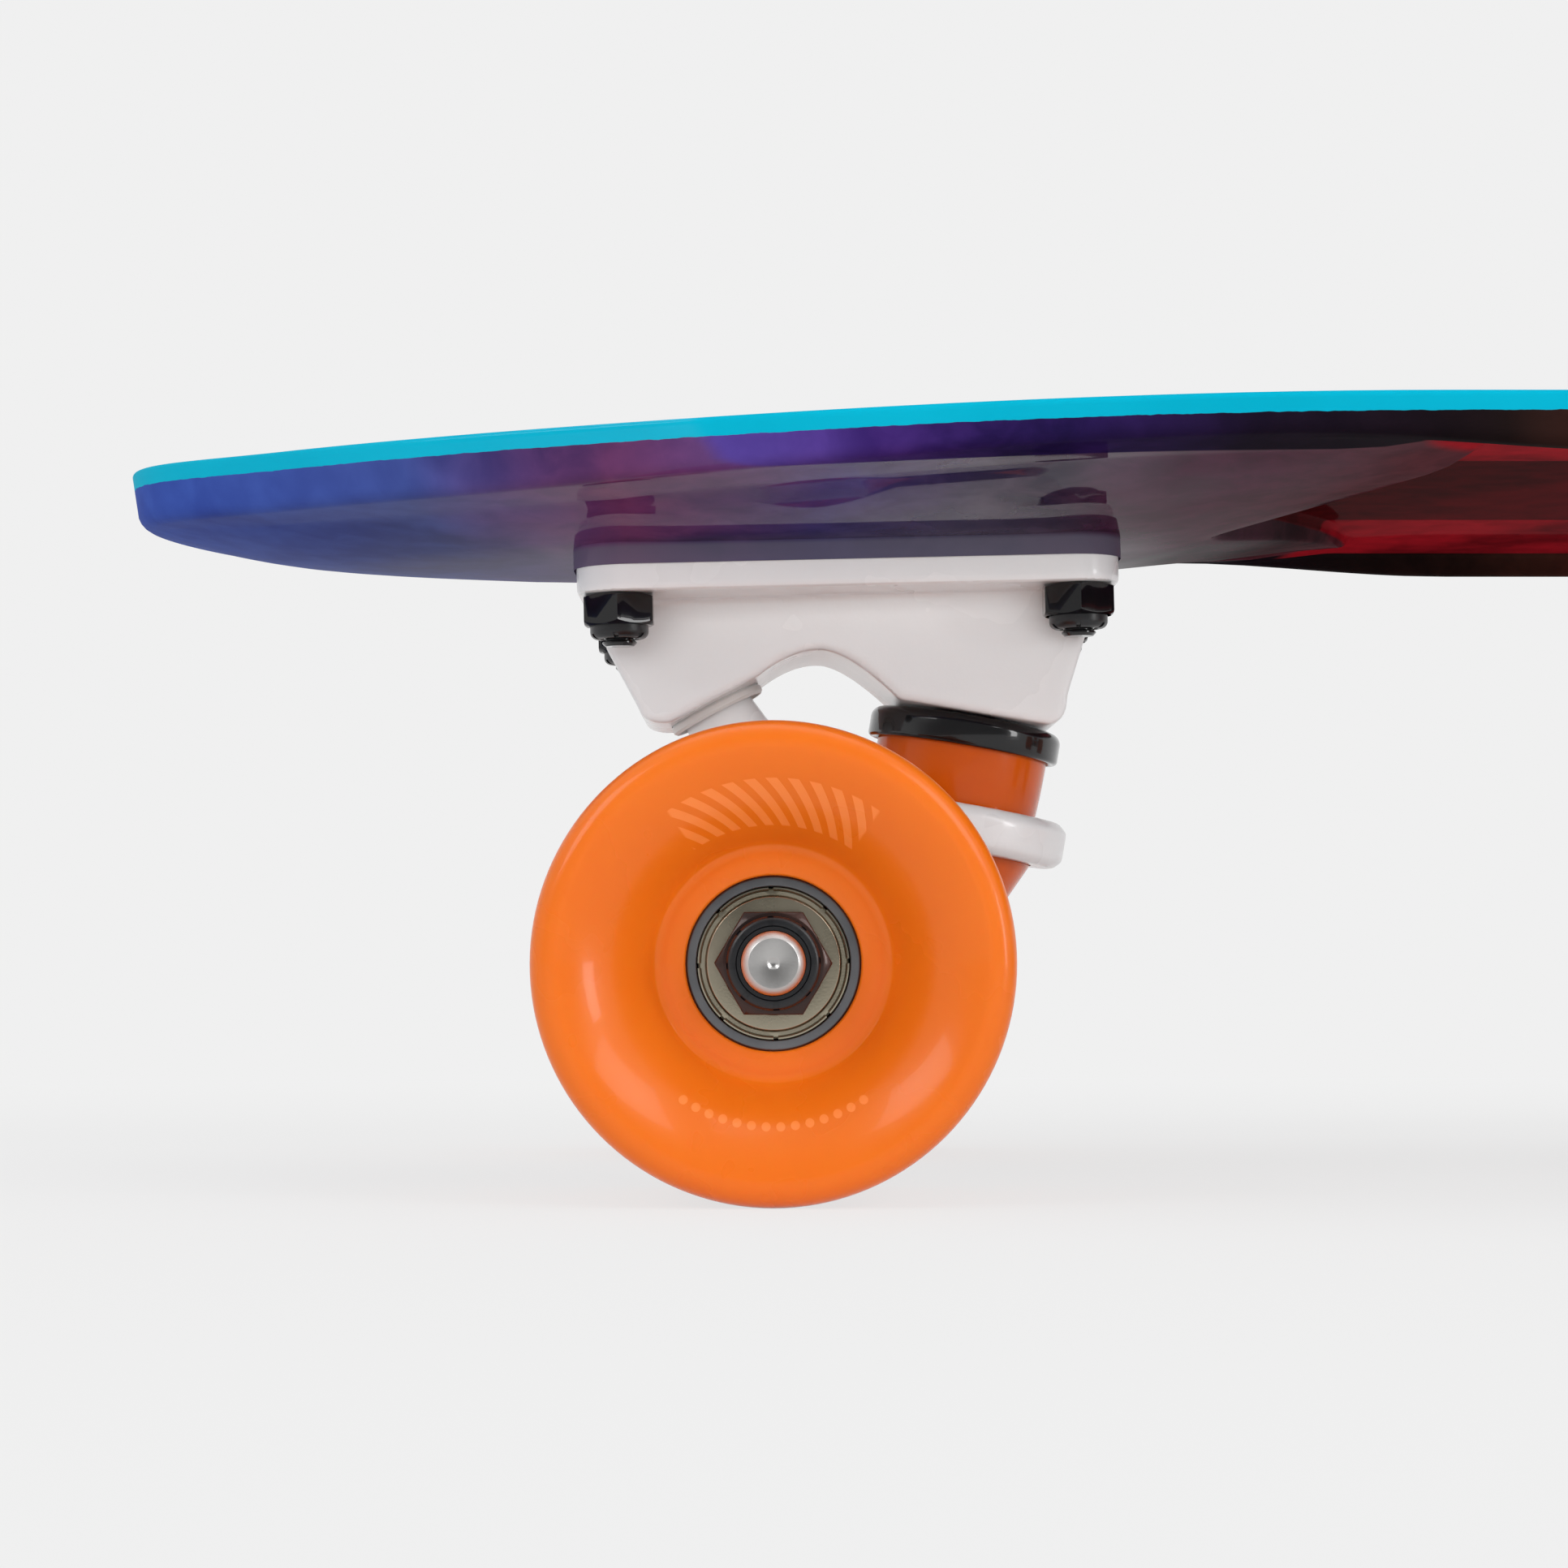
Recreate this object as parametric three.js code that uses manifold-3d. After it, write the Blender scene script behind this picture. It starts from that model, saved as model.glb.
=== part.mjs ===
// Cruiser skateboard: a moulded plastic deck on two cast trucks with soft wheels.
// Millimetres, +Z up. The nose points along -X. The origin lies on the ground under the middle.
import * as THREE from "three";
import { mergeVertices } from "three/addons/utils/BufferGeometryUtils.js";
import Module from "manifold-3d";

const wasm = await Module();
wasm.setup();

const degrees = THREE.MathUtils.degToRad;
const quarterTurn = Math.PI / 2;

// Layout of the board
const deckLength = 572;
const deckWidth = 151;
const noseOverhang = 92; // nose tip to front axle
const tailOverhang = 138; // rear axle to tail tip
const wheelDiameter = 60;
const truckTilt = degrees(1.3); // each truck stands square to the deck's slight camber
const axleToPlate = 55.7; // axle centre up to the baseplate's top

// Clearances
const seatGap = 0.3; // between faces that rest on each other in a tilted truck
const slipGap = 0.15; // radial, around pins, bolts and nuts
const bearingGap = 0.03; // radial, around a bearing ring
const overrun = 5; // how far a cutter runs past what it cuts
const weldDistance = 0.0001; // points closer than this are one point

// Deck plan
const noseLength = 182; // half ellipse
const tailLength = 178; // half superellipse
const tailEndPower = 3;
const tailSidePower = 2.6;

// Deck camber, nose lift and kick tail
const camberDrop = 2.5; // how far the top falls from the middle to beyond each truck
const camberInboard = 80; // measured from the axle
const camberOutboard = 70;
const noseLift = 1.6;
const noseLiftLength = 27;
const kickRise = 32;
const kickLength = 110;
const kickBendShare = 0.5; // how much of the kick's bend comes early

// Deck section
const padThickness = 13.35; // deck over a truck
const padTrim = 0.25; // shaved off the belly to make the flat pad
const wallDepth = 8.3;
const wallDraft = 0.8;
const topEdgeRound = 1.2;
const lowerEdgeRound = 2.2;
const noseBelly = 4.8; // belly below the wall's lower edge
const tailBelly = 2;
const noseBellyEnd = 56; // from the nose tip to where the belly's spine ends
const tailBellyEnd = 45; // the same from the tail's end
const padReach = 22;
const bellyFade = 27; // the belly dies away towards the recess over this length
const endBellyPower = 2.2;
const sideBellyPower = 4;
const topShares = [0, 0.6]; // of the way from the spine to the edge
const bellyShares = [0.12, 0.27, 0.45, 0.7, 1]; // of the way from the wall to the spine

// Recess under the middle of the deck
const recessReach = 63; // inboard of the axle, on the centreline
const recessBulge = 21; // how much shorter the recess is along its sides
const recessBulgeRound = 6;
const recessBulgePower = 1.6;
const recessShares = [-1, -0.75, -0.5, -0.3, -0.14, 0, 0.14, 0.3, 0.5, 0.75, 1]; // across
const rimWidth = 5.5;
const skinThickness = 2.4;
const panelDrop = 0.9; // outer ceiling panels slope down by this much
const panelWidth = 31.5; // half width of the level middle panel
const mouthDrop = 9.1; // from the deck's top down to the recess's end edge
const flareLength = 14;
const flareDrop = 5.2;

// Baseplate
const plateMarginX = 5.25; // bolt centre to the plate's end
const plateMarginY = 5.35;
const plateThickness = 4;
const plateCorner = 7;
const plateEdgeRound = 1.4;
const plateOffset = 11.5; // centre of the plate, inboard of the axle
const bodyWidth = 30;
const bodyPivotWidth = 23;
const bodyEdgeRound = 1.8;
const bodyInset = 2.8; // the body's end walls stand this far in from the plate's ends
const bodyWallDrop = 6.6;
const outerWallLean = 4.6;
const innerWallLean = 0.85;
const bossCorner = 4;
const bossLean = 3; // the kingpin boss widens by this much above its corner
const archDrop = 9.3; // plate underside down to the arch's crown
const archShift = 4.2; // crown outboard of the plate's centre

// Mounting bolts
const boltSpacingX = 63.5;
const boltSpacingY = 41.3;
const boltDiameter = 4.76;
const boltHeadDiameter = 9.2;
const boltHeadDepth = 2.3;
const boltHeadSink = 0.4;
const boltEndLength = 1;
const boltHexRecess = 3.2;
const lockNutAcross = 9.5;
const lockNutHeight = 4.4;
const lockNutCollar = 1.8;
const lockNutCollarInset = 0.7;

// Pivot
const pivotOutboard = 9.76; // centre of the pivot ball, from the axle
const pivotHeight = 41.73;
const pivotTilt = degrees(26); // the nose leans this far outboard from upright
const pivotFaceDepth = 5; // ball centre down to the boss's face
const noseRadius = 5.2;
const noseRootRadius = 8;
const pivotNoseLength = 23;
const cupWall = 1.5;
const cupFlare = 0.95; // the mouth opens by this much so that the nose can swing
const cupFlangeRadius = 7.1;
const cupFlangeThickness = 1.1;

// Kingpin and its stack, measured along the kingpin from the centre of the hanger's ring
const ringInboard = 25.63;
const ringHeight = 18.72;
const kingpinTilt = degrees(11);
const kingpinDiameter = 9.5;
const kingpinHeadAcross = 14.3;
const kingpinHeadHeight = 6;
const kingpinHeadSink = 2; // below the plate's top, clear of the deck when tilted
const kingpinEnd = 1.4; // beyond the nut
const kingpinSeat = 16.1;
const kingpinSeatWidth = 21;
const ringRadius = 16.75;
const ringThickness = 6.5;
const ringEdgeRound = 1.6;
const ringHoleRadius = 6.4;
const ringSeatDepth = 1;
const bushingRadius = 12.2;
const bushingWaist = 0.3;
const lowerBushingLength = 10.4;
const lowerBushingEndRadius = 8;
const upperWasherRadius = 13.75;
const upperWasherRim = 4.4;
const lowerWasherRadius = 9.8;
const lowerWasherRim = 2.4;
const washerThickness = 1.6;
const washerWall = 1.2;
const kingpinNutHeight = 6.4;

// Hanger
const hangerLength = 80; // between the faces that the bearings stack against
const beamEndRadius = 8.5;
const beamMiddleRadius = 9.3;
const crownRise = 17; // the casting's top over the beam, at the middle
const crownLean = degrees(12);
const crownLengthShare = 0.9; // of the hanger's half length
const neckWidth = 25;

// Axle
const axleDiameter = 7.94;
const axleEnd = 2; // beyond the nut's collar
const axleChamfer = 0.9;
const axleDimple = 1;
const axleNutAcross = 12.7;
const axleNutHeight = 5;
const axleNutCollar = 1.5;
const axleNutCollarInset = 0.5;

// Bearings and what clamps them
const bearingDiameter = 22;
const bearingWidth = 7;
const bearingRaceWall = 1.35;
const bearingShieldSink = 0.3;
const innerRingDiameter = 12.1;
const shieldGap = 0.3;
const spacerLength = 10;
const spacerDiameter = 10.4;
const speedWasher = 1;

// Wheel
const wheelWidth = 45;
const hubRibRadius = 9.4;
const hubLipWidth = 1.9;
const hubLipHeight = 0.7;
const faceCrestShare = 0.8; // radius of the face's highest circle, of the wheel's radius
const dishFootShare = 0.3; // the dish's curve leaves the hub lip towards here
const dishBrimShare = 0.45; // and meets the crest from here
const treadRound = 4; // width of the rounding between face and tread

// How finely round shapes are faceted
const noseSteps = 17;
const sideSteps = 4;
const tailSteps = 14;
const wheelSides = 26;
const bearingSides = 12;
const pinSides = 8;
const stackSides = 14;
const beamSides = 12;
const hexSides = 6;
const cornerSteps = 4;
const bevelSteps = 2;
const domeSteps = 3;
const flareSteps = 3;
const dishSteps = 3;
const treadSteps = 2;

// Sizes that follow from those above
const axleHeight = wheelDiameter / 2;
const noseTipX = -deckLength / 2;
const frontAxleX = noseTipX + noseOverhang;
const rearAxleX = deckLength / 2 - tailOverhang;
const wheelbase = rearAxleX - frontAxleX;
const middleX = (frontAxleX + rearAxleX) / 2;
const kickStart = deckLength / 2 - kickLength;
const noseBellyReach = noseOverhang - noseBellyEnd;
const tailBellyReach = tailOverhang - tailBellyEnd;
const plateLength = boltSpacingX + 2 * plateMarginX;
const plateWidth = boltSpacingY + 2 * plateMarginY;
const plateUnderside = axleToPlate - plateThickness;
const padSeat = axleToPlate + seatGap;
const stackWidth = 2 * bearingWidth + spacerLength + 2 * speedWasher;
const stackStart = hangerLength / 2;
const wheelMiddle = stackStart + stackWidth / 2;
const axleLength = 2 * (stackStart + stackWidth + axleNutHeight + axleNutCollar + axleEnd);

const finishes = {
  deck: finish(0x2fb8d6, 0.32, 0),
  casting: finish(0xf1efee, 0.35, 0),
  rubber: finish(0xf4702a, 0.4, 0),
  bushing: finish(0xb5531c, 0.35, 0),
  blackMetal: finish(0x111114, 0.25, 0.6),
  darkMetal: finish(0x2a2220, 0.35, 0.7),
  steel: finish(0xb9babd, 0.3, 1),
  cup: finish(0xe6e3df, 0.5, 0),
};

function finish(color, roughness, metalness) {
  return new THREE.MeshStandardMaterial({ color, roughness, metalness });
}

// Solids: closed meshes in, cut or joined, and back to geometry

function solidOf(geometry) {
  const bare = new THREE.BufferGeometry();
  bare.setAttribute("position", geometry.getAttribute("position").clone());
  if (geometry.index) {
    bare.setIndex(geometry.index.clone());
  }
  const merged = mergeVertices(bare, weldDistance);
  const corners = merged.index.array;
  const kept = [];
  for (let first = 0; first < corners.length; first += 3) {
    const [a, b, c] = corners.slice(first, first + 3);
    if (a !== b && b !== c && c !== a) {
      kept.push(a, b, c);
    }
  }
  const vertProperties = merged.getAttribute("position").array;
  return new wasm.Manifold(new wasm.Mesh({ numProp: 3, vertProperties, triVerts: new Uint32Array(kept) }));
}

function geometryOf(solid) {
  const mesh = solid.getMesh();
  const geometry = new THREE.BufferGeometry();
  geometry.setAttribute("position", new THREE.BufferAttribute(mesh.vertProperties, 3));
  geometry.setIndex(new THREE.BufferAttribute(mesh.triVerts, 1));
  geometry.computeVertexNormals();
  return geometry;
}

function join(...geometries) {
  return geometryOf(geometries.map(solidOf).reduce((whole, piece) => whole.add(piece)));
}

function cut(geometry, ...cutters) {
  const whole = solidOf(geometry);
  return geometryOf(cutters.map(solidOf).reduce((rest, cutter) => rest.subtract(cutter), whole));
}

function common(geometry, other) {
  return geometryOf(solidOf(geometry).intersect(solidOf(other)));
}

// A hole whose flats, not its corners, stand at the wanted radius
function holeRadius(radius, sides) {
  return radius / Math.cos(Math.PI / sides);
}

// Profiles are [radius, height] points, anticlockwise, turned about Y with a flat side down
function turned(profile, sides) {
  const points = profile.map(([radius, height]) => new THREE.Vector2(radius, height));
  const solid = profile[0][0] === 0 && profile[profile.length - 1][0] === 0;
  if (!solid) {
    points.push(points[0].clone());
  }
  return new THREE.LatheGeometry(points, sides, Math.PI / sides);
}

// The same about Z
function turnedUpright(profile, sides) {
  return turned(profile, sides).rotateX(quarterTurn);
}

function rodUpright(radius, bottom, top, sides) {
  return turnedUpright([[0, bottom], [radius, bottom], [radius, top], [0, top]], sides);
}

function hexUpright(across, bottom, top) {
  return rodUpright(across / 2 / Math.cos(Math.PI / hexSides), bottom, top, hexSides);
}

// An outline in X and Z, given a width along Y about the middle
function extrudedAcross(shape, width, round) {
  const depth = width - 2 * round;
  const geometry = new THREE.ExtrudeGeometry(shape, {
    depth,
    curveSegments: cornerSteps,
    bevelEnabled: round > 0,
    bevelThickness: round,
    bevelSize: round,
    bevelOffset: -round,
    bevelSegments: bevelSteps,
  });
  return geometry.translate(0, 0, -depth / 2).rotateX(quarterTurn);
}

// A closed skin over loops of equally many points, each end closed by a fan about its middle
function lofted(loops) {
  const positions = [];
  const indices = [];
  const count = loops[0].length;
  loops.forEach((loop) => loop.forEach((point) => positions.push(point.x, point.y, point.z)));
  for (let row = 0; row + 1 < loops.length; row += 1) {
    for (let i = 0; i < count; i += 1) {
      const a = row * count + i;
      const b = row * count + ((i + 1) % count);
      indices.push(a, a + count, b + count, a, b + count, b);
    }
  }
  for (const [row, flipped] of [[0, false], [loops.length - 1, true]]) {
    const middle = positions.length / 3;
    const centre = new THREE.Vector3();
    loops[row].forEach((point) => centre.addScaledVector(point, 1 / count));
    positions.push(centre.x, centre.y, centre.z);
    for (let i = 0; i < count; i += 1) {
      const a = row * count + i;
      const b = row * count + ((i + 1) % count);
      indices.push(middle, flipped ? b : a, flipped ? a : b);
    }
  }
  const geometry = new THREE.BufferGeometry();
  geometry.setAttribute("position", new THREE.Float32BufferAttribute(positions, 3));
  geometry.setIndex(indices);
  return geometry;
}

function smooth(from, to, x) {
  return THREE.MathUtils.smoothstep(x, from, to);
}

// Deck

// Distance inboard of the nearer axle
function inboardOf(x) {
  return x < middleX ? x - frontAxleX : rearAxleX - x;
}

function camberAt(x) {
  return camberDrop * (1 - smooth(-camberOutboard, camberInboard, inboardOf(x)));
}

function padHeightAt(x) {
  return axleHeight + padSeat / Math.cos(truckTilt) + inboardOf(x) * Math.tan(truckTilt);
}

const deckTop = padHeightAt(frontAxleX) + padThickness + camberAt(frontAxleX);

function topAt(x) {
  const lift = Math.max(0, noseTipX + noseLiftLength - x) / noseLiftLength;
  const kick = Math.max(0, x - kickStart) / kickLength;
  const bend = 1 + kickBendShare * (1 - kick);
  return deckTop - camberAt(x) + noseLift * lift * lift + kickRise * kick * kick * bend;
}

function bellyAt(x) {
  const inboard = inboardOf(x);
  const [endBelly, reach] = x < middleX ? [noseBelly, noseBellyReach] : [tailBelly, tailBellyReach];
  const padBelly = padThickness + padTrim - wallDepth;
  const belly = THREE.MathUtils.lerp(endBelly, padBelly, smooth(-reach, -padReach, inboard));
  const fadeEnd = recessReach + recessBulge;
  return belly * (1 - smooth(fadeEnd - bellyFade, fadeEnd, inboard));
}

// One side of the plan outline from nose to tail, as points and the spine points they belong to
function sideRays() {
  const halfWidth = deckWidth / 2;
  const noseEnd = noseTipX + noseLength;
  const tailStart = deckLength / 2 - tailLength;
  const edges = [];
  for (let i = 0; i < noseSteps; i += 1) {
    const turn = (i / noseSteps) * quarterTurn;
    edges.push([noseEnd - noseLength * Math.cos(turn), halfWidth * Math.sin(turn)]);
  }
  for (let i = 0; i < sideSteps; i += 1) {
    edges.push([THREE.MathUtils.lerp(noseEnd, tailStart, i / sideSteps), halfWidth]);
  }
  for (let i = tailSteps; i >= 0; i -= 1) {
    const turn = (i / tailSteps) * quarterTurn;
    const along = Math.max(0, Math.cos(turn)) ** (2 / tailEndPower);
    const across = Math.max(0, Math.sin(turn)) ** (2 / tailSidePower);
    edges.push([tailStart + tailLength * (i === tailSteps ? 0 : along), halfWidth * across]);
  }
  return edges.map(([x, y]) => ({
    edge: new THREE.Vector2(x, y),
    spine: new THREE.Vector2(
      THREE.MathUtils.clamp(x, frontAxleX - noseBellyReach, rearAxleX + tailBellyReach),
      0,
    ),
  }));
}

const edgeTurns = [0, quarterTurn / 2, quarterTurn];

// Points of one ray, from the spine over the top edge, down the wall and back under the belly
function deckRay({ edge, spine }) {
  const reach = edge.distanceTo(spine);
  const outward = edge.clone().sub(spine).divideScalar(reach);
  const point = (inset, drop) => {
    const plan = edge.clone().addScaledVector(outward, -inset);
    return new THREE.Vector3(plan.x, plan.y, topAt(plan.x) - drop);
  };
  const points = [];
  for (const share of topShares) {
    points.push(point(THREE.MathUtils.lerp(reach, topEdgeRound, share), 0));
  }
  for (const turn of edgeTurns) {
    points.push(point(topEdgeRound * (1 - Math.sin(turn)), topEdgeRound * (1 - Math.cos(turn))));
  }
  for (const turn of edgeTurns) {
    const inset = wallDraft + lowerEdgeRound * (1 - Math.cos(turn));
    points.push(point(inset, wallDepth - lowerEdgeRound * (1 - Math.sin(turn))));
  }
  const start = wallDraft + lowerEdgeRound;
  const power = THREE.MathUtils.lerp(endBellyPower, sideBellyPower, Math.abs(outward.y));
  for (const share of bellyShares) {
    const depth = bellyAt(spine.x) * (1 - (1 - share) ** power);
    points.push(point(THREE.MathUtils.lerp(start, reach, share), wallDepth + depth));
  }
  return points;
}

function deckBlank() {
  const half = sideRays();
  const mirrored = half.slice(1, -1).reverse();
  const flip = ({ edge, spine }) => ({ edge: new THREE.Vector2(edge.x, -edge.y), spine });
  const rays = [...half.map(flip), ...mirrored].map(deckRay);
  const loops = rays[0].map((_, row) => rays.map((ray) => ray[row]));
  return lofted(loops);
}

// The recess's end, seen from above: it reaches furthest towards the truck on the centreline
function recessEndAt(y, halfWidth) {
  const off = Math.hypot(y, recessBulgeRound) - recessBulgeRound;
  const most = Math.hypot(halfWidth, recessBulgeRound) - recessBulgeRound;
  return recessReach + recessBulge * (1 - (1 - off / most) ** recessBulgePower);
}

function recessLoop(halfWidth, flare, z) {
  const loop = [];
  const ends = [[frontAxleX, 1], [rearAxleX, -1]];
  for (const [axle, inboard] of ends) {
    for (const share of recessShares) {
      const y = -inboard * share * halfWidth;
      const end = recessEndAt(y, halfWidth) - flare;
      loop.push(new THREE.Vector3(axle + inboard * end, y, z));
    }
  }
  return loop;
}

function recessCutter() {
  const halfWidth = deckWidth / 2 - rimWidth;
  const mouth = deckTop - mouthDrop;
  const loops = [recessLoop(halfWidth, 0, deckTop)];
  for (let step = 0; step <= flareSteps; step += 1) {
    const turn = (step / flareSteps) * quarterTurn;
    const flare = flareLength * (1 - Math.cos(turn));
    loops.push(recessLoop(halfWidth, flare, mouth - flareDrop * Math.sin(turn)));
  }
  loops.push(recessLoop(halfWidth, flareLength, mouth - flareDrop - wallDepth));
  return common(lofted(loops), recessCeiling(halfWidth + overrun));
}

// Everything under the three ceiling panels
function recessCeiling(halfWidth) {
  const ceiling = deckTop - skinThickness;
  const slope = panelDrop / (deckWidth / 2 - rimWidth - panelWidth);
  const side = ceiling - slope * (halfWidth - panelWidth);
  const shape = new THREE.Shape([
    new THREE.Vector2(-halfWidth, 0),
    new THREE.Vector2(halfWidth, 0),
    new THREE.Vector2(halfWidth, side),
    new THREE.Vector2(panelWidth, ceiling),
    new THREE.Vector2(-panelWidth, ceiling),
    new THREE.Vector2(-halfWidth, side),
  ]);
  const geometry = new THREE.ExtrudeGeometry(shape, { depth: wheelbase, bevelEnabled: false });
  const axes = new THREE.Matrix4().makeBasis(
    new THREE.Vector3(0, 1, 0),
    new THREE.Vector3(0, 0, 1),
    new THREE.Vector3(1, 0, 0),
  );
  return geometry.translate(0, 0, frontAxleX).applyMatrix4(axes);
}

// The flat pad that a baseplate rests on, as what is shaved off below it
function padCutter() {
  const length = noseBellyReach + recessReach;
  const height = wallDepth;
  const slab = new THREE.BoxGeometry(length, deckWidth / 2, height);
  return slab.translate(length / 2 - noseBellyReach, 0, padSeat - height / 2);
}

function boltPlaces() {
  const places = [];
  for (const x of [-boltSpacingX / 2, boltSpacingX / 2]) {
    for (const y of [-boltSpacingY / 2, boltSpacingY / 2]) {
      places.push([plateOffset + x, y]);
    }
  }
  return places;
}

// Top of the deck at a bolt, in the truck's own frame
function boltHeadTop() {
  return padSeat + padThickness * Math.cos(truckTilt) - boltHeadSink;
}

function boltHoleCutter([x, y]) {
  const radius = holeRadius(boltDiameter / 2 + slipGap, pinSides);
  const headRadius = holeRadius(boltHeadDiameter / 2 + slipGap, pinSides);
  const top = boltHeadTop();
  const profile = [
    [0, padSeat - overrun],
    [radius, padSeat - overrun],
    [radius, top - boltHeadDepth - slipGap],
    [headRadius, top - slipGap],
    [headRadius, top + overrun],
    [0, top + overrun],
  ];
  return turnedUpright(profile, pinSides).translate(x, y, 0);
}

function deckGeometry(truckFrames) {
  const cutters = [recessCutter()];
  for (const frame of truckFrames) {
    cutters.push(padCutter().applyMatrix4(frame));
    boltPlaces().forEach((place) => cutters.push(boltHoleCutter(place).applyMatrix4(frame)));
  }
  return cut(deckBlank(), ...cutters);
}

// Truck: its frame has the axle centre at the origin, X inboard and Z up square to the plate

const kingpinFrame = new THREE.Matrix4()
  .makeTranslation(ringInboard, 0, ringHeight)
  .multiply(new THREE.Matrix4().makeRotationY(kingpinTilt));
const pivotFrame = new THREE.Matrix4()
  .makeTranslation(-pivotOutboard, 0, pivotHeight)
  .multiply(new THREE.Matrix4().makeRotationY(-pivotTilt));

// How far along the kingpin the plate's top lies, on the kingpin's axis
const kingpinAtPlateTop = (axleToPlate - ringHeight) / Math.cos(kingpinTilt);
const kingpinHeadTop = kingpinAtPlateTop - kingpinHeadSink;
const kingpinHeadBase = kingpinHeadTop - kingpinHeadHeight;

// Where the stack's faces lie along the kingpin
const upperWasherTop = kingpinSeat - seatGap;
const upperBushingTop = upperWasherTop - washerThickness - seatGap;
const ringSeat = ringThickness / 2 - ringSeatDepth;
const upperBushingBase = ringSeat + seatGap;
const lowerBushingTop = -ringSeat - seatGap;
const lowerBushingBase = lowerBushingTop - lowerBushingLength;
const lowerWasherTop = lowerBushingBase - seatGap;
const kingpinNutTop = lowerWasherTop - washerThickness - seatGap;
const kingpinNutBase = kingpinNutTop - kingpinNutHeight;

function planPoint(frame, x, z) {
  const point = new THREE.Vector3(x, 0, z).applyMatrix4(frame);
  return new THREE.Vector2(point.x, point.z);
}

function roundedRectangle(length, width, corner) {
  const [x, y] = [length / 2, width / 2];
  const shape = new THREE.Shape();
  shape.absarc(x - corner, y - corner, corner, 0, quarterTurn);
  shape.absarc(corner - x, y - corner, corner, quarterTurn, 2 * quarterTurn);
  shape.absarc(corner - x, corner - y, corner, 2 * quarterTurn, 3 * quarterTurn);
  shape.absarc(x - corner, corner - y, corner, 3 * quarterTurn, 4 * quarterTurn);
  return shape;
}

// The plate's lower edge is rounded and its top edge, against the deck, is sharp
function plateFlange() {
  const shape = roundedRectangle(plateLength, plateWidth, plateCorner);
  const depth = plateThickness - plateEdgeRound;
  const geometry = new THREE.ExtrudeGeometry(shape, {
    depth,
    curveSegments: cornerSteps,
    bevelThickness: plateEdgeRound,
    bevelSize: plateEdgeRound,
    bevelOffset: -plateEdgeRound,
    bevelSegments: bevelSteps,
  });
  const slab = geometry.translate(plateOffset, 0, plateUnderside + plateEdgeRound);
  const above = new THREE.BoxGeometry(plateLength + overrun, plateWidth + overrun, plateThickness);
  return cut(slab, above.translate(plateOffset, 0, axleToPlate + plateThickness / 2));
}

// Side view of the body between plate, pivot boss, arch and kingpin boss
function bodyShape() {
  const inPlate = plateUnderside + plateThickness / 2;
  const wallFoot = plateUnderside - bodyWallDrop;
  const outerX = plateOffset - plateLength / 2 + bodyInset;
  const innerX = plateOffset + plateLength / 2 - bodyInset;
  const pivotOuter = planPoint(pivotFrame, -cupFlangeRadius, -pivotFaceDepth);
  const pivotInner = planPoint(pivotFrame, cupFlangeRadius, -pivotFaceDepth);
  const seatOuter = planPoint(kingpinFrame, -kingpinSeatWidth / 2, kingpinSeat);
  const seatInner = planPoint(kingpinFrame, kingpinSeatWidth / 2, kingpinSeat);
  const crown = new THREE.Vector2(plateOffset - archShift, plateUnderside - archDrop);
  const shape = new THREE.Shape();
  shape.moveTo(outerX, inPlate);
  shape.lineTo(outerX, wallFoot);
  shape.lineTo(outerX + outerWallLean, pivotOuter.y + bossCorner / 2);
  shape.quadraticCurveTo(pivotOuter.x - bossCorner, pivotOuter.y, pivotOuter.x, pivotOuter.y);
  shape.lineTo(pivotInner.x, pivotInner.y);
  shape.quadraticCurveTo(crown.x - bossCorner, crown.y, crown.x, crown.y);
  shape.quadraticCurveTo(crown.x + bossCorner, crown.y, seatOuter.x, seatOuter.y);
  shape.lineTo(seatInner.x, seatInner.y);
  const bossInner = seatInner.x + bossLean;
  shape.quadraticCurveTo(bossInner, seatInner.y, bossInner, seatInner.y + bossCorner);
  shape.lineTo(innerX - innerWallLean, wallFoot);
  shape.lineTo(innerX, inPlate);
  shape.closePath();
  return shape;
}

// Plan view of the body, narrower at the pivot end
function bodyPlan() {
  const outerX = plateOffset - plateLength / 2;
  const innerX = plateOffset + plateLength / 2;
  const shape = new THREE.Shape([
    new THREE.Vector2(outerX, -bodyPivotWidth / 2),
    new THREE.Vector2(plateOffset, -bodyWidth / 2),
    new THREE.Vector2(innerX, -bodyWidth / 2),
    new THREE.Vector2(innerX, bodyWidth / 2),
    new THREE.Vector2(plateOffset, bodyWidth / 2),
    new THREE.Vector2(outerX, bodyPivotWidth / 2),
  ]);
  return new THREE.ExtrudeGeometry(shape, { depth: axleToPlate, bevelEnabled: false });
}

function cupBodyRadius() {
  return noseRadius + slipGap + cupWall;
}

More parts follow.
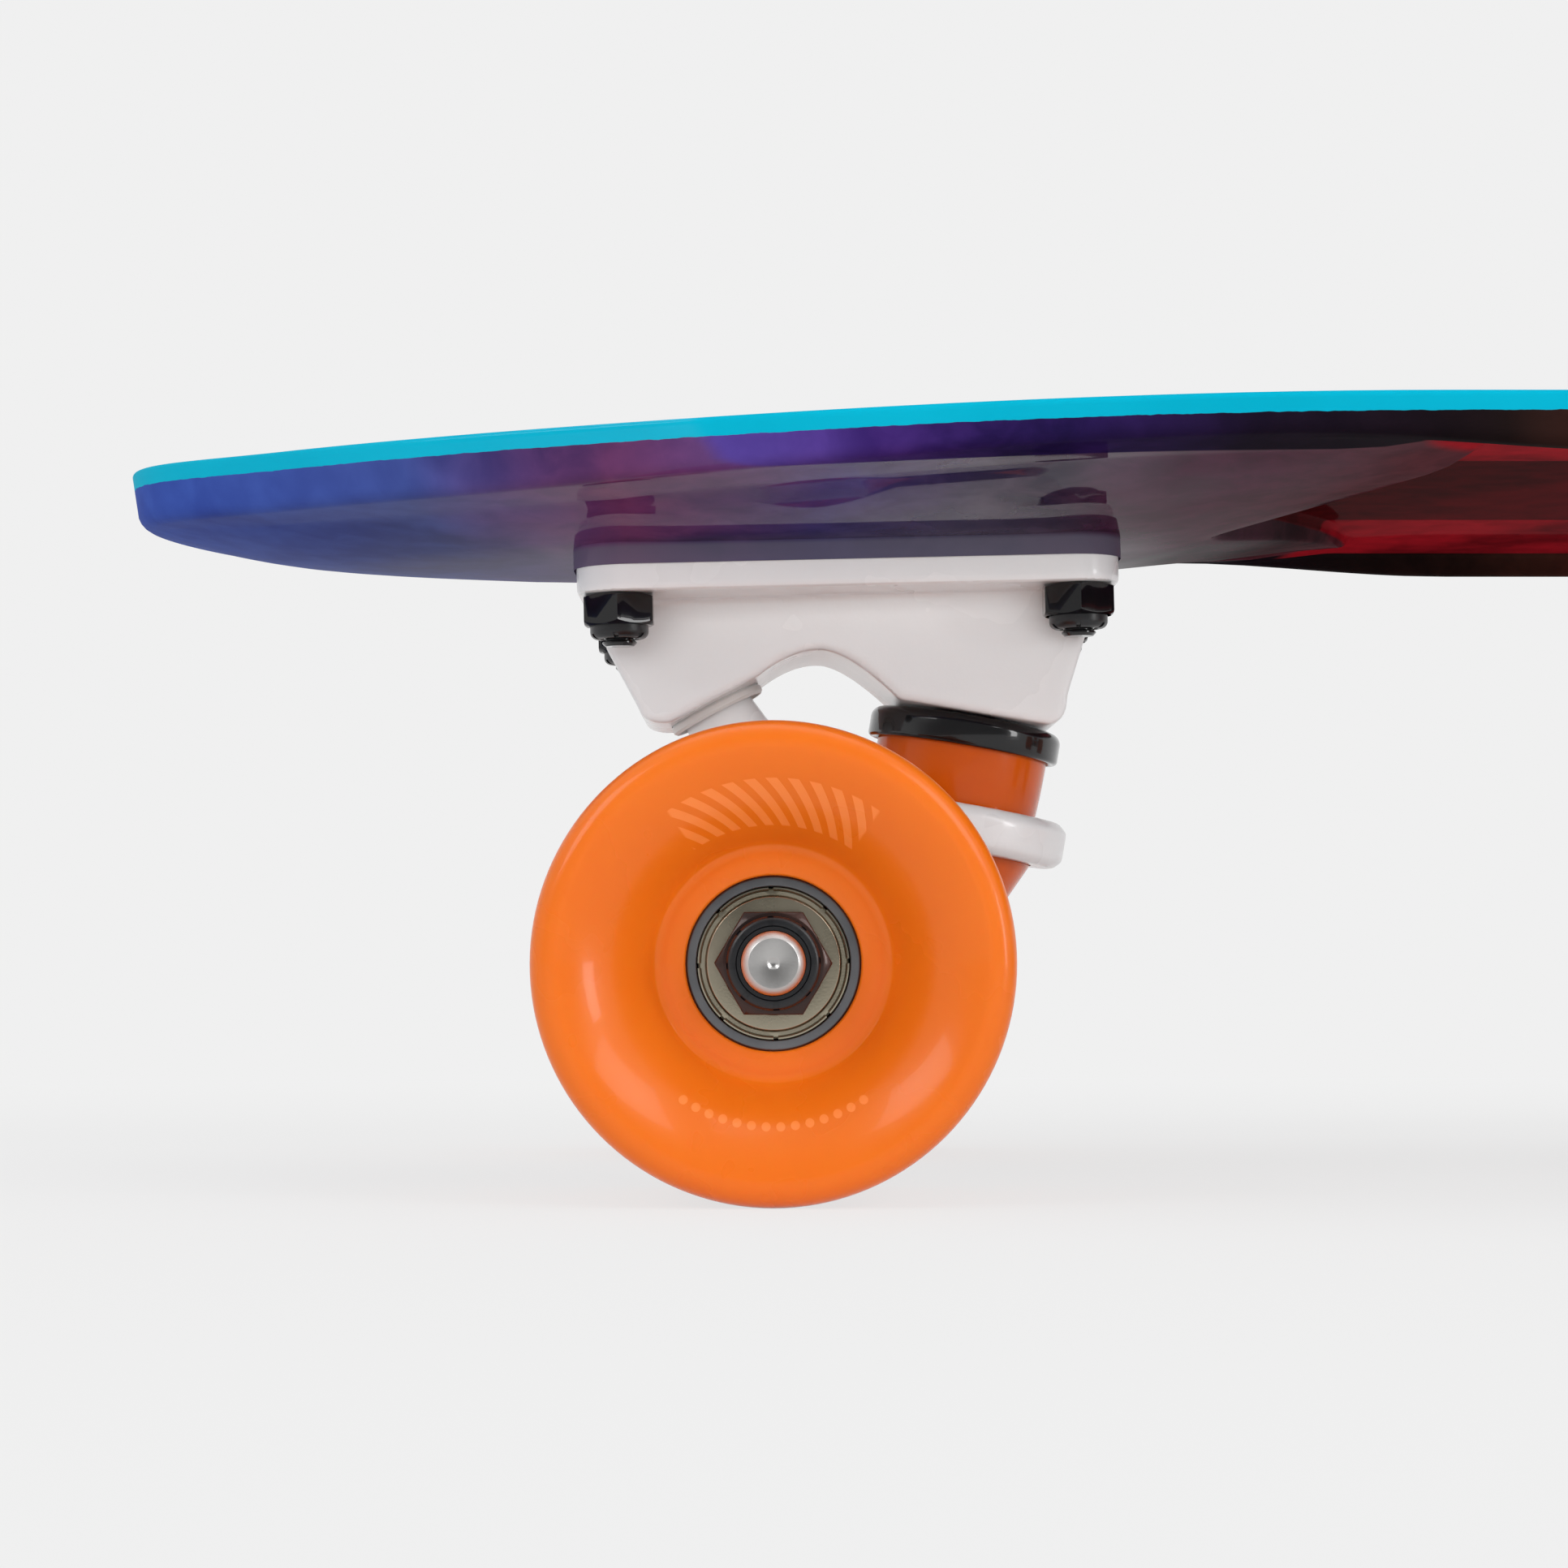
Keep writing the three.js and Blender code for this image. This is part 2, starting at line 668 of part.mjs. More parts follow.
function baseplateGeometry() {
  const body = common(extrudedAcross(bodyShape(), bodyWidth, bodyEdgeRound), bodyPlan());
  const socketRadius = cupBodyRadius() + slipGap;
  const socketHole = holeRadius(socketRadius, stackSides);
  const kingpinHole = holeRadius(kingpinDiameter / 2 + slipGap, pinSides);
  const boltHole = holeRadius(boltDiameter / 2 + slipGap, pinSides);
  const headPocket = kingpinHeadAcross + 2 * slipGap;
  const plateTop = kingpinAtPlateTop + overrun;
  const cutters = [
    rodUpright(socketHole, -pivotFaceDepth - overrun, socketRadius, stackSides).applyMatrix4(pivotFrame),
    rodUpright(kingpinHole, kingpinSeat - overrun, kingpinHeadTop, pinSides).applyMatrix4(kingpinFrame),
    hexUpright(headPocket, kingpinHeadBase - seatGap, plateTop).applyMatrix4(kingpinFrame),
  ];
  for (const [x, y] of boltPlaces()) {
    const hole = rodUpright(boltHole, plateUnderside - overrun, axleToPlate + overrun, pinSides);
    cutters.push(hole.translate(x, y, 0));
  }
  return cut(join(plateFlange(), body), ...cutters);
}

// Points of a ball's section from its equator up to its pole
function domeProfile(radius) {
  const rim = [];
  for (let step = 0; step < domeSteps; step += 1) {
    const turn = (step / domeSteps) * quarterTurn;
    rim.push([radius * Math.cos(turn), radius * Math.sin(turn)]);
  }
  return [...rim, [0, radius]];
}

// The cup's flange stands against the boss and its mouth flares
function pivotCupGeometry() {
  const bore = holeRadius(noseRadius + slipGap, stackSides);
  const mouth = bore + cupFlare;
  const body = cupBodyRadius();
  const face = -pivotFaceDepth - seatGap;
  const profile = [
    [mouth, face - cupFlangeThickness],
    [cupFlangeRadius, face - cupFlangeThickness],
    [cupFlangeRadius, face],
    [body, face],
    [body, body],
    [0, body],
    ...domeProfile(bore).reverse(),
  ];
  return turnedUpright(profile, stackSides);
}

function kingpinGeometry() {
  const radius = kingpinDiameter / 2;
  const end = kingpinNutBase - kingpinEnd;
  const chamfer = kingpinEnd / 2;
  const inHead = kingpinHeadBase + kingpinHeadHeight / 2;
  const shank = turnedUpright([
    [0, end],
    [radius - chamfer, end],
    [radius, end + chamfer],
    [radius, inHead],
    [0, inHead],
  ], pinSides);
  return join(shank, hexUpright(kingpinHeadAcross, kingpinHeadBase, kingpinHeadTop));
}

// A hexagon nut with a round collar above it
function nutUpright({ across, height, collar, collarInset, bore, sides }) {
  const radius = across / 2 - collarInset;
  const top = height + collar;
  const nut = join(
    hexUpright(across, 0, height),
    turnedUpright([
      [0, height / 2],
      [radius, height / 2],
      [radius, top - collar / 2],
      [radius - collar / 2, top],
      [0, top],
    ], sides),
  );
  const hole = holeRadius(bore / 2 + slipGap, pinSides);
  return cut(nut, rodUpright(hole, -overrun, top + overrun, pinSides));
}

function upperBushingGeometry() {
  const bore = holeRadius(kingpinDiameter / 2 + slipGap, stackSides);
  const middle = (upperBushingBase + upperBushingTop) / 2;
  return turnedUpright([
    [bore, upperBushingBase],
    [bushingRadius - bushingWaist, upperBushingBase],
    [bushingRadius, middle],
    [bushingRadius, upperBushingTop],
    [bore, upperBushingTop],
  ], stackSides);
}

function lowerBushingGeometry() {
  const bore = holeRadius(kingpinDiameter / 2 + slipGap, stackSides);
  return turnedUpright([
    [bore, lowerBushingBase],
    [lowerBushingEndRadius, lowerBushingBase],
    [bushingRadius, lowerBushingTop - ringSeatDepth],
    [bushingRadius, lowerBushingTop],
    [bore, lowerBushingTop],
  ], stackSides);
}

// A cupped washer: the plate lies at the height given and its rim runs down (1) or up (-1)
function cuppedWasher(radius, rim, top, way) {
  const bore = holeRadius(kingpinDiameter / 2 + slipGap, stackSides);
  const plate = top - way * washerThickness;
  const foot = top - way * rim;
  const round = washerThickness / 2;
  const profile = [
    [bore, top],
    [bore, plate],
    [radius - washerWall, plate],
    [radius - washerWall, foot],
    [radius, foot],
    [radius, top - way * round],
    [radius - round, top],
  ];
  return turnedUpright(way > 0 ? profile : profile.reverse(), stackSides);
}

// Hanger

// Cross-section of the beam at a place along the axle: round at the ends, tall in the middle
function beamLoop(y) {
  const towardsMiddle = 1 - Math.abs(y) / stackStart;
  const rise = crownRise * smooth(0, crownLengthShare, towardsMiddle);
  const width = THREE.MathUtils.lerp(beamEndRadius, beamMiddleRadius, towardsMiddle);
  const height = width + rise / 2;
  const loop = [];
  for (let i = 0; i < beamSides; i += 1) {
    const turn = (2 * Math.PI * i) / beamSides;
    const across = width * Math.cos(turn);
    const along = rise / 2 + height * Math.sin(turn);
    const x = across * Math.cos(crownLean) + along * Math.sin(crownLean);
    const z = along * Math.cos(crownLean) - across * Math.sin(crownLean);
    loop.push(new THREE.Vector3(x, y, z));
  }
  return loop;
}

function hangerBeam() {
  const shares = [-1, -0.76, -0.56, -0.36, 0, 0.36, 0.56, 0.76, 1];
  return lofted(shares.map((share) => beamLoop(share * stackStart)));
}

function hangerRing() {
  const half = ringThickness / 2;
  return turnedUpright([
    [0, -half],
    [ringRadius - ringEdgeRound, -half],
    [ringRadius, ringEdgeRound - half],
    [ringRadius, half - ringEdgeRound],
    [ringRadius - ringEdgeRound, half],
    [0, half],
  ], stackSides).applyMatrix4(kingpinFrame);
}

function hangerNeck() {
  const length = ringRadius + beamMiddleRadius;
  const neck = new THREE.BoxGeometry(length, neckWidth, ringThickness);
  return neck.translate(-length / 2, 0, 0).applyMatrix4(kingpinFrame);
}

// The pivot nose: a ball-ended shank that widens into the casting
function pivotNose() {
  const profile = [
    [0, -pivotNoseLength],
    [noseRootRadius, -pivotNoseLength],
    [noseRadius, -pivotFaceDepth - cupFlangeThickness - seatGap],
    ...domeProfile(noseRadius),
  ];
  return turnedUpright(profile, stackSides).applyMatrix4(pivotFrame);
}

function hangerGeometry() {
  const half = ringThickness / 2;
  const ringHole = holeRadius(ringHoleRadius, stackSides);
  const seatRadius = holeRadius(bushingRadius + seatGap, stackSides);
  const axleHole = holeRadius(axleDiameter / 2 + bearingGap, pinSides);
  const cutters = [
    rodUpright(ringHole, -half - overrun, half + overrun, stackSides),
    rodUpright(seatRadius, ringSeat, kingpinSeat, stackSides),
    rodUpright(seatRadius, lowerWasherTop, -ringSeat, stackSides),
  ].map((cutter) => cutter.applyMatrix4(kingpinFrame));
  cutters.push(turned([
    [0, -stackStart - overrun],
    [axleHole, -stackStart - overrun],
    [axleHole, stackStart + overrun],
    [0, stackStart + overrun],
  ], pinSides));
  return cut(join(hangerBeam(), hangerRing(), hangerNeck(), pivotNose()), ...cutters);
}

// Axle, bearings and wheel, turned about Y

function axleGeometry() {
  const radius = axleDiameter / 2;
  const end = axleLength / 2;
  return turned([
    [0, axleDimple - end],
    [axleDimple, -end],
    [radius - axleChamfer, -end],
    [radius, axleChamfer - end],
    [radius, end - axleChamfer],
    [radius - axleChamfer, end],
    [axleDimple, end],
    [0, end - axleDimple],
  ], pinSides);
}

// The nut faces outwards along -Y, with its corners fore and aft
function axleNutGeometry() {
  return nutUpright({
    across: axleNutAcross,
    height: axleNutHeight,
    collar: axleNutCollar,
    collarInset: axleNutCollarInset,
    bore: axleDiameter,
    sides: stackSides,
  }).rotateX(quarterTurn);
}

// Outer ring with both shields, along Y from 0 to the bearing's width
function bearingGeometry() {
  const radius = bearingDiameter / 2 - bearingGap;
  const shield = bearingDiameter / 2 - bearingRaceWall;
  const hole = holeRadius(innerRingDiameter / 2 + shieldGap, bearingSides);
  const half = bearingWidth / 2;
  return turned([
    [hole, bearingShieldSink - half],
    [shield, bearingShieldSink - half],
    [shield, -half],
    [radius, -half],
    [radius, half],
    [shield, half],
    [shield, half - bearingShieldSink],
    [hole, half - bearingShieldSink],
  ], bearingSides);
}

// Inner rings, spacer and speed washers, clamped together on the axle
function bearingCoreGeometry() {
  const bore = holeRadius(axleDiameter / 2 + bearingGap, bearingSides);
  const ring = innerRingDiameter / 2;
  const spacer = spacerDiameter / 2;
  const end = stackWidth / 2;
  return turned([
    [bore, -end],
    [ring, -end],
    [ring, -spacerLength / 2],
    [spacer, -spacerLength / 2],
    [spacer, spacerLength / 2],
    [ring, spacerLength / 2],
    [ring, end],
    [bore, end],
  ], bearingSides);
}

// Half of the wheel's section, from the rib between the bearings to the tread
function wheelHalfProfile() {
  const radius = wheelDiameter / 2;
  const seat = bearingDiameter / 2;
  const face = wheelWidth / 2;
  const bearingFace = spacerLength / 2 + bearingWidth;
  const crest = radius * faceCrestShare;
  const lip = seat + hubLipWidth;
  const dish = new THREE.CubicBezierCurve(
    new THREE.Vector2(lip, bearingFace + hubLipHeight),
    new THREE.Vector2(
      THREE.MathUtils.lerp(lip, crest, dishFootShare),
      THREE.MathUtils.lerp(bearingFace, face, dishFootShare),
    ),
    new THREE.Vector2(THREE.MathUtils.lerp(lip, crest, dishBrimShare), face),
    new THREE.Vector2(crest, face),
  );
  const profile = [
    [hubRibRadius, spacerLength / 2],
    [seat, spacerLength / 2],
    [seat, bearingFace + hubLipHeight],
  ];
  dish.getPoints(dishSteps).forEach((point) => profile.push([point.x, point.y]));
  for (let step = 1; step <= treadSteps; step += 1) {
    const turn = (step / treadSteps) * quarterTurn;
    const across = crest + (radius - crest) * Math.sin(turn);
    profile.push([across, face - treadRound * (1 - Math.cos(turn))]);
  }
  return profile;
}

function wheelGeometry() {
  const half = wheelHalfProfile().map(([radius, out]) => [holeRadius(radius, wheelSides), out]);
  const mirrored = half.map(([radius, out]) => [radius, -out]);
  return turned([...mirrored, ...half.reverse()], wheelSides);
}

// Assembly

function addPiece(group, name, geometry, material, frame) {
  const mesh = new THREE.Mesh(geometry, material);
  mesh.name = name;
  if (frame) {
    mesh.applyMatrix4(frame);
  }
  group.add(mesh);
  return mesh;
}

// Two nested groups: the outer one stands at the axle and faces inboard, the inner one is tilted
function truckGroups(axleX, facing) {
  const outer = new THREE.Group();
  outer.position.set(axleX, 0, axleHeight);
  outer.rotation.z = facing;
  const inner = new THREE.Group();
  inner.rotation.y = -truckTilt;
  outer.add(inner);
  outer.updateMatrixWorld(true);
  return { outer, inner };
}

function addBoltsAndNuts(group, end) {
  const top = boltHeadTop();
  const nutTop = plateUnderside - seatGap;
  const nutBase = nutTop - lockNutHeight - lockNutCollar;
  const radius = boltDiameter / 2;
  const bolt = cut(turnedUpright([
    [0, nutBase - boltEndLength],
    [radius, nutBase - boltEndLength],
    [radius, top - boltHeadDepth],
    [boltHeadDiameter / 2, top],
    [0, top],
  ], pinSides), hexUpright(boltHexRecess, top - boltHeadDepth, top + overrun));
  const nut = nutUpright({
    across: lockNutAcross,
    height: lockNutHeight,
    collar: lockNutCollar,
    collarInset: lockNutCollarInset,
    bore: boltDiameter,
    sides: pinSides,
  }).rotateX(2 * quarterTurn).translate(0, 0, nutTop);
  boltPlaces().forEach(([x, y], index) => {
    addPiece(group, `${end}_bolt_${index + 1}`, bolt, finishes.blackMetal).position.set(x, y, 0);
    addPiece(group, `${end}_lock_nut_${index + 1}`, nut, finishes.blackMetal).position.set(x, y, 0);
  });
}

function addBoardSide(group, end) {
  const nutHole = holeRadius(kingpinDiameter / 2 + slipGap, pinSides);
  const kingpinNut = cut(
    hexUpright(kingpinHeadAcross, kingpinNutBase, kingpinNutTop),
    rodUpright(nutHole, kingpinNutBase - overrun, kingpinNutTop + overrun, pinSides),
  );
  const lowerPlate = lowerWasherTop - washerThickness;
  const upperWasher = cuppedWasher(upperWasherRadius, upperWasherRim, upperWasherTop, 1);
  const lowerWasher = cuppedWasher(lowerWasherRadius, lowerWasherRim, lowerPlate, -1);
  addPiece(group, `${end}_baseplate`, baseplateGeometry(), finishes.casting);
  addPiece(group, `${end}_pivot_cup`, pivotCupGeometry(), finishes.cup, pivotFrame);
  addPiece(group, `${end}_kingpin`, kingpinGeometry(), finishes.blackMetal, kingpinFrame);
  addPiece(group, `${end}_kingpin_nut`, kingpinNut, finishes.blackMetal, kingpinFrame);
  addPiece(group, `${end}_upper_bushing`, upperBushingGeometry(), finishes.bushing, kingpinFrame);
  addPiece(group, `${end}_lower_bushing`, lowerBushingGeometry(), finishes.bushing, kingpinFrame);
  addPiece(group, `${end}_upper_washer`, upperWasher, finishes.blackMetal, kingpinFrame);
  addPiece(group, `${end}_lower_washer`, lowerWasher, finishes.blackMetal, kingpinFrame);
}

function addWheel(group, name, side) {
  const middle = side * wheelMiddle;
  const bearingOffset = side * (spacerLength + bearingWidth) / 2;
  const along = (y) => new THREE.Matrix4().makeTranslation(0, y, 0);
  const nutFrame = along(side * (stackStart + stackWidth));
  if (side > 0) {
    nutFrame.multiply(new THREE.Matrix4().makeRotationZ(2 * quarterTurn));
  }
  addPiece(group, `${name}_wheel`, wheelGeometry(), finishes.rubber, along(middle));
  for (const [place, way] of [["outer", 1], ["inner", -1]]) {
    const frame = along(middle + way * bearingOffset);
    addPiece(group, `${name}_${place}_bearing`, bearingGeometry(), finishes.steel, frame);
  }
  addPiece(group, `${name}_bearing_core`, bearingCoreGeometry(), finishes.steel, along(middle));
  addPiece(group, `${name}_axle_nut`, axleNutGeometry(), finishes.darkMetal, nutFrame);
}

// Seen from the deck's top with the nose ahead, -Y is the left side
function addTruck(board, end, { outer, inner }, leftSide) {
  addBoardSide(inner, end);
  addBoltsAndNuts(inner, end);
  addPiece(inner, `${end}_hanger`, hangerGeometry(), finishes.casting);
  addPiece(outer, `${end}_axle`, axleGeometry(), finishes.steel);
  addWheel(outer, `${end}_left`, leftSide);
  addWheel(outer, `${end}_right`, -leftSide);
  board.add(outer);
}

const board = new THREE.Group();
const front = truckGroups(frontAxleX, 0);
const rear = truckGroups(rearAxleX, Math.PI);
const truckFrames = [front.inner.matrixWorld.clone(), rear.inner.matrixWorld.clone()];
addPiece(board, "deck", deckGeometry(truckFrames), finishes.deck);
addTruck(board, "front", front, -1);
addTruck(board, "rear", rear, 1);

export default board;
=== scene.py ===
"""Cruiser skateboard: its looks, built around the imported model. Metres, +Z up, the nose along -X."""

import logging
import math
from collections.abc import Callable, Iterator, Sequence
from contextlib import contextmanager
from dataclasses import dataclass
from enum import Enum

import bpy
from bpy.types import MeshPolygon as Face, Node, NodeSocket as Socket, Object
from mathutils import Matrix, Vector


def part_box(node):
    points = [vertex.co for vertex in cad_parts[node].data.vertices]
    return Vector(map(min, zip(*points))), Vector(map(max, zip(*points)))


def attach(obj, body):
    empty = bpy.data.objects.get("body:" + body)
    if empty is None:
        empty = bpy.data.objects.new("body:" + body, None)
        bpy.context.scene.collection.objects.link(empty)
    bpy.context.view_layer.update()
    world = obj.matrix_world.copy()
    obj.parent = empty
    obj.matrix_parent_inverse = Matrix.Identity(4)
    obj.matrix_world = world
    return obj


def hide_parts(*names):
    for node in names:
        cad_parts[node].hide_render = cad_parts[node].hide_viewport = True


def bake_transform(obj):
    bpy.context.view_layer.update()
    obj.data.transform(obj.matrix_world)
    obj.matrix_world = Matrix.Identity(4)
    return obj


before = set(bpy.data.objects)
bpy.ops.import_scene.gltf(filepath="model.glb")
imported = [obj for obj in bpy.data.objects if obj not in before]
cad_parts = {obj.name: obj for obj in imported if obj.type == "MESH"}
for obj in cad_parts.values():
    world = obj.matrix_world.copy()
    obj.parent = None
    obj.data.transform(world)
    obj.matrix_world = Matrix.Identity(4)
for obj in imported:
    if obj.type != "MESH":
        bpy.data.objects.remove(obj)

LOG = logging.getLogger("cruiser")
MM = 0.001
WELD = 0.000002

CROSSWAYS = Matrix.Rotation(math.pi / 2, 4, "X")

Point = tuple[float, float]
Profile = list[Point]
Colour = tuple[float, float, float]


class End(Enum):
    """The two ends of the board."""

    FRONT = "front"
    REAR = "rear"


class Side(Enum):
    """The two sides of the board, seen by a rider who faces the nose."""

    LEFT = "left"
    RIGHT = "right"

    @property
    def way(self) -> int:
        """-1 where the side lies along -Y, and 1 where it lies along +Y."""
        return -1 if self is Side.LEFT else 1


# Modelling


def deselect() -> None:
    """Leaves nothing selected, as an operator acts on all that is."""
    bpy.ops.object.select_all(action="DESELECT")


def pick(*objects: Object) -> None:
    """Selects these objects and nothing else, and makes the first one active.

    Args:
        objects: what the next operator acts on.
    """
    deselect()
    for obj in objects:
        obj.select_set(True)
    bpy.context.view_layer.objects.active = objects[0]


@contextmanager
def marked(obj: Object, mode: str | None = None) -> Iterator[None]:
    """Edit mode on one object, with what was selected before.

    Args:
        obj: the object to edit.
        mode: what an operator acts on, if it changes: VERT, EDGE or FACE.
    """
    pick(obj)
    bpy.ops.object.mode_set(mode="EDIT")
    if mode:
        bpy.ops.mesh.select_mode(type=mode)
    yield
    bpy.ops.object.mode_set(mode="OBJECT")


@contextmanager
def editing(obj: Object) -> Iterator[None]:
    """Edit mode on one object, with all of it selected.

    Args:
        obj: the object to edit.
    """
    with marked(obj, "VERT"):
        bpy.ops.mesh.select_all(action="SELECT")
        yield


def started(name: str) -> Object:
    """The primitive that was just added, under a name.

    Args:
        name: the object's name.

    Returns:
        The primitive's object.
    """
    obj = bpy.context.active_object
    obj.name = name
    obj.data.name = name
    return obj


def moulded(obj: Object, place: Callable[[Vector], Vector]) -> Object:
    """Moves every point of a mesh by a rule.

    Args:
        obj: the mesh object.
        place: gives a point's new place from its old one.

    Returns:
        The same object.
    """
    for vertex in obj.data.vertices:
        vertex.co = place(vertex.co)
    return obj


def cleaned(obj: Object) -> Object:
    """Merges double points and turns all faces outwards.

    Args:
        obj: the mesh object.

    Returns:
        The same object.
    """
    with editing(obj):
        bpy.ops.mesh.remove_doubles(threshold=WELD)
        bpy.ops.mesh.dissolve_degenerate(threshold=WELD)
        bpy.ops.mesh.select_all(action="SELECT")
        bpy.ops.mesh.normals_make_consistent(inside=False)
    return obj


def choose_faces(obj: Object, wanted: Callable[[Face], bool]) -> None:
    """Selects faces by a rule, while in object mode.

    Args:
        obj: the mesh object.
        wanted: says whether a face is selected.
    """
    for part in (obj.data.vertices, obj.data.edges):
        part.foreach_set("select", [False] * len(part))
    for face in obj.data.polygons:
        face.select = wanted(face)


def outline(name: str, points: Sequence[Vector], filled: bool) -> Object:
    """A circle primitive whose points are pulled to an outline.

    Args:
        name: the object's name.
        points: the outline's points in order.
        filled: whether it has a face.

    Returns:
        The outline's object.
    """
    deselect()
    fill = "NGON" if filled else "NOTHING"
    bpy.ops.mesh.primitive_circle_add(vertices=len(points), fill_type=fill)
    obj = started(name)
    for vertex, point in zip(obj.data.vertices, points, strict=True):
        vertex.co = point
    return obj


def spun(name: str, profile: Profile, steps: int = 72) -> Object:
    """A closed profile spun about Z.

    Args:
        name: the object's name.
        profile: (radius, height) points in order round the section.
        steps: how many steps the turn has.

    Returns:
        The turned piece.
    """
    obj = outline(name, [Vector((radius, 0, height)) for radius, height in profile], filled=False)
    with editing(obj):
        bpy.ops.mesh.spin(steps=steps, angle=math.tau, center=(0, 0, 0), axis=(0, 0, 1))
    return cleaned(obj)


def rod(name: str, radius: float, low: float, high: float, steps: int = 72) -> Object:
    """A plain round bar on Z, as a tool that cuts a hole.

    Args:
        name: the object's name.
        radius: the bar's radius.
        low: its lower end.
        high: its upper end.
        steps: how many sides it has.

    Returns:
        The bar.
    """
    return spun(name, [(0, low), (radius, low), (radius, high), (0, high)], steps)


def extruded(obj: Object, step: Vector) -> Object:
    """A filled outline drawn out into a prism.

    Args:
        obj: the outline's object.
        step: how far and which way it is drawn.

    Returns:
        The prism.
    """
    with editing(obj):
        bpy.ops.mesh.extrude_region_move(TRANSFORM_OT_translate={"value": step})
        bpy.ops.mesh.select_all(action="SELECT")
        bpy.ops.mesh.normals_make_consistent(inside=False)
    return obj


def modified(obj: Object, kind: str, **settings: object) -> Object:
    """Adds one modifier and applies it.

    Args:
        obj: the mesh object.
        kind: the modifier's type.
        settings: the modifier's values.

    Returns:
        The same object.
    """
    pick(obj)
    modifier = obj.modifiers.new(kind.title(), kind)
    for name, value in settings.items():
        setattr(modifier, name, value)
    bpy.ops.object.modifier_apply(modifier=modifier.name)
    return obj


def softened(obj: Object, width: float, segments: int, degrees: float = 50) -> Object:
    """Bevels the sharp edges of a mesh.

    Args:
        obj: the mesh object.
        width: the bevel's width.
        segments: how many steps it has.
        degrees: the angle past which an edge is sharp.

    Returns:
        The same object.
    """
    limit = math.radians(degrees)
    return modified(obj, "BEVEL", width=width, segments=segments, limit_method="ANGLE", angle_limit=limit)


def combined(obj: Object, how: str, *tools: Object) -> Object:
    """Cuts an object with tools, or keeps what it shares with them, and removes the tools.

    Args:
        obj: the mesh object.
        how: DIFFERENCE, INTERSECT or UNION.
        tools: the other objects.

    Returns:
        The same object.
    """
    for tool in tools:
        modified(obj, "BOOLEAN", operation=how, object=tool, solver="EXACT")
        bpy.data.objects.remove(tool)
    return obj


def joined(name: str, *objects: Object) -> Object:
    """Several objects made one, with the materials of all.

    Args:
        name: the name of the whole.
        objects: what is joined.

    Returns:
        The one object.
    """
    pick(*objects)
    bpy.ops.object.join()
    return started(name)


def placed(obj: Object, matrix: Matrix) -> Object:
    """Puts a mesh in its place, with its object left at the origin.

    Args:
        obj: the mesh object.
        matrix: the place.

    Returns:
        The same object.
    """
    obj.data.transform(matrix)
    return obj


def copied(obj: Object, name: str, matrix: Matrix) -> Object:
    """A copy with a mesh of its own, in its own place.

    Args:
        obj: the model that is copied.
        name: the copy's name.
        matrix: the copy's place.

    Returns:
        The copy.
    """
    copy = obj.copy()
    copy.data = obj.data.copy()
    copy.name = name
    copy.data.name = name
    bpy.context.scene.collection.objects.link(copy)
    return placed(copy, matrix)


def rounded(obj: Object, degrees: float = 32) -> Object:
    """Shades a mesh smooth, but for its sharp edges.

    Args:
        obj: the mesh object.
        degrees: the angle past which an edge is sharp.

    Returns:
        The same object.
    """
    pick(obj)
    bpy.ops.object.shade_smooth_by_angle(angle=math.radians(degrees))
    return obj


def cast(obj: Object, voxel: float, passes: int) -> Object:
    """Fuses overlapping forms into one skin with the soft corners of a casting.

    Args:
        obj: the joined forms.
        voxel: the skin's grain.
        passes: how often it is smoothed.

    Returns:
        The same object.
    """
    obj.data.remesh_voxel_size = voxel
    pick(obj)
    bpy.ops.object.voxel_remesh()
    return modified(obj, "SMOOTH", factor=0.5, iterations=passes)


def mirrored(half: Profile) -> Profile:
    """A section made whole: its upper half and then the same points below Z = 0, backwards."""
    return half + [(radius, -height) for radius, height in half[::-1]]


def hexagon(radius: float, height: float = 0) -> list[Vector]:
    """The corners of a hexagon on Z, the first one along X.

    Args:
        radius: the radius at the corners.
        height: where it lies.

    Returns:
        The six corners.
    """
    turns = [math.tau * side / 6 for side in range(6)]
    return [Vector((radius * math.cos(t), radius * math.sin(t), height)) for t in turns]


def quarter(steps: int) -> list[float]:
    """Angles from zero to a right angle, both included."""
    return [math.radians(90 * step / steps) for step in range(steps + 1)]


def weighed(weights: Sequence[float], points: Sequence[Point]) -> Point:
    """The sum of points, each times its weight."""
    return tuple(sum(w * p[axis] for w, p in zip(weights, points)) for axis in (0, 1))


def arc(centre: Point, radii: Point, start: float, end: float, steps: int = 6) -> Profile:
    """Points of an elliptic arc, its ends included.

    Args:
        centre: the ellipse's centre.
        radii: its two radii.
        start: the first point's angle in degrees.
        end: the last point's angle in degrees.
        steps: how many steps lie between them.

    Returns:
        The points.
    """
    turns = [math.radians(start + (end - start) * step / steps) for step in range(steps + 1)]
    return [(centre[0] + radii[0] * math.cos(t), centre[1] + radii[1] * math.sin(t)) for t in turns]


def bend(first: Point, pull: Point, last: Point, steps: int = 8) -> Profile:
    """Points of a quadratic curve, its ends included.

    Args:
        first: where it starts.
        pull: the point that it bends towards.
        last: where it ends.
        steps: how many steps it has.

    Returns:
        The points.
    """
    points = []
    for step in range(steps + 1):
        t = step / steps
        points.append(weighed(((1 - t) ** 2, 2 * t * (1 - t), t**2), (first, pull, last)))
    return points


def softly(low: float, high: float, value: float) -> float:
    """0 below low, 1 above high, and a smooth step between.

    Args:
        low: where the step starts.
        high: where it ends.
        value: where it is asked for.

    Returns:
        The step's height there.
    """
    t = min(1, max(0, (value - low) / (high - low)))
    return t * t * (3 - 2 * t)


def between(low: float, high: float, share: float) -> float:
    """The value that lies at a share of the way from low to high."""
    return low + (high - low) * share


# Materials


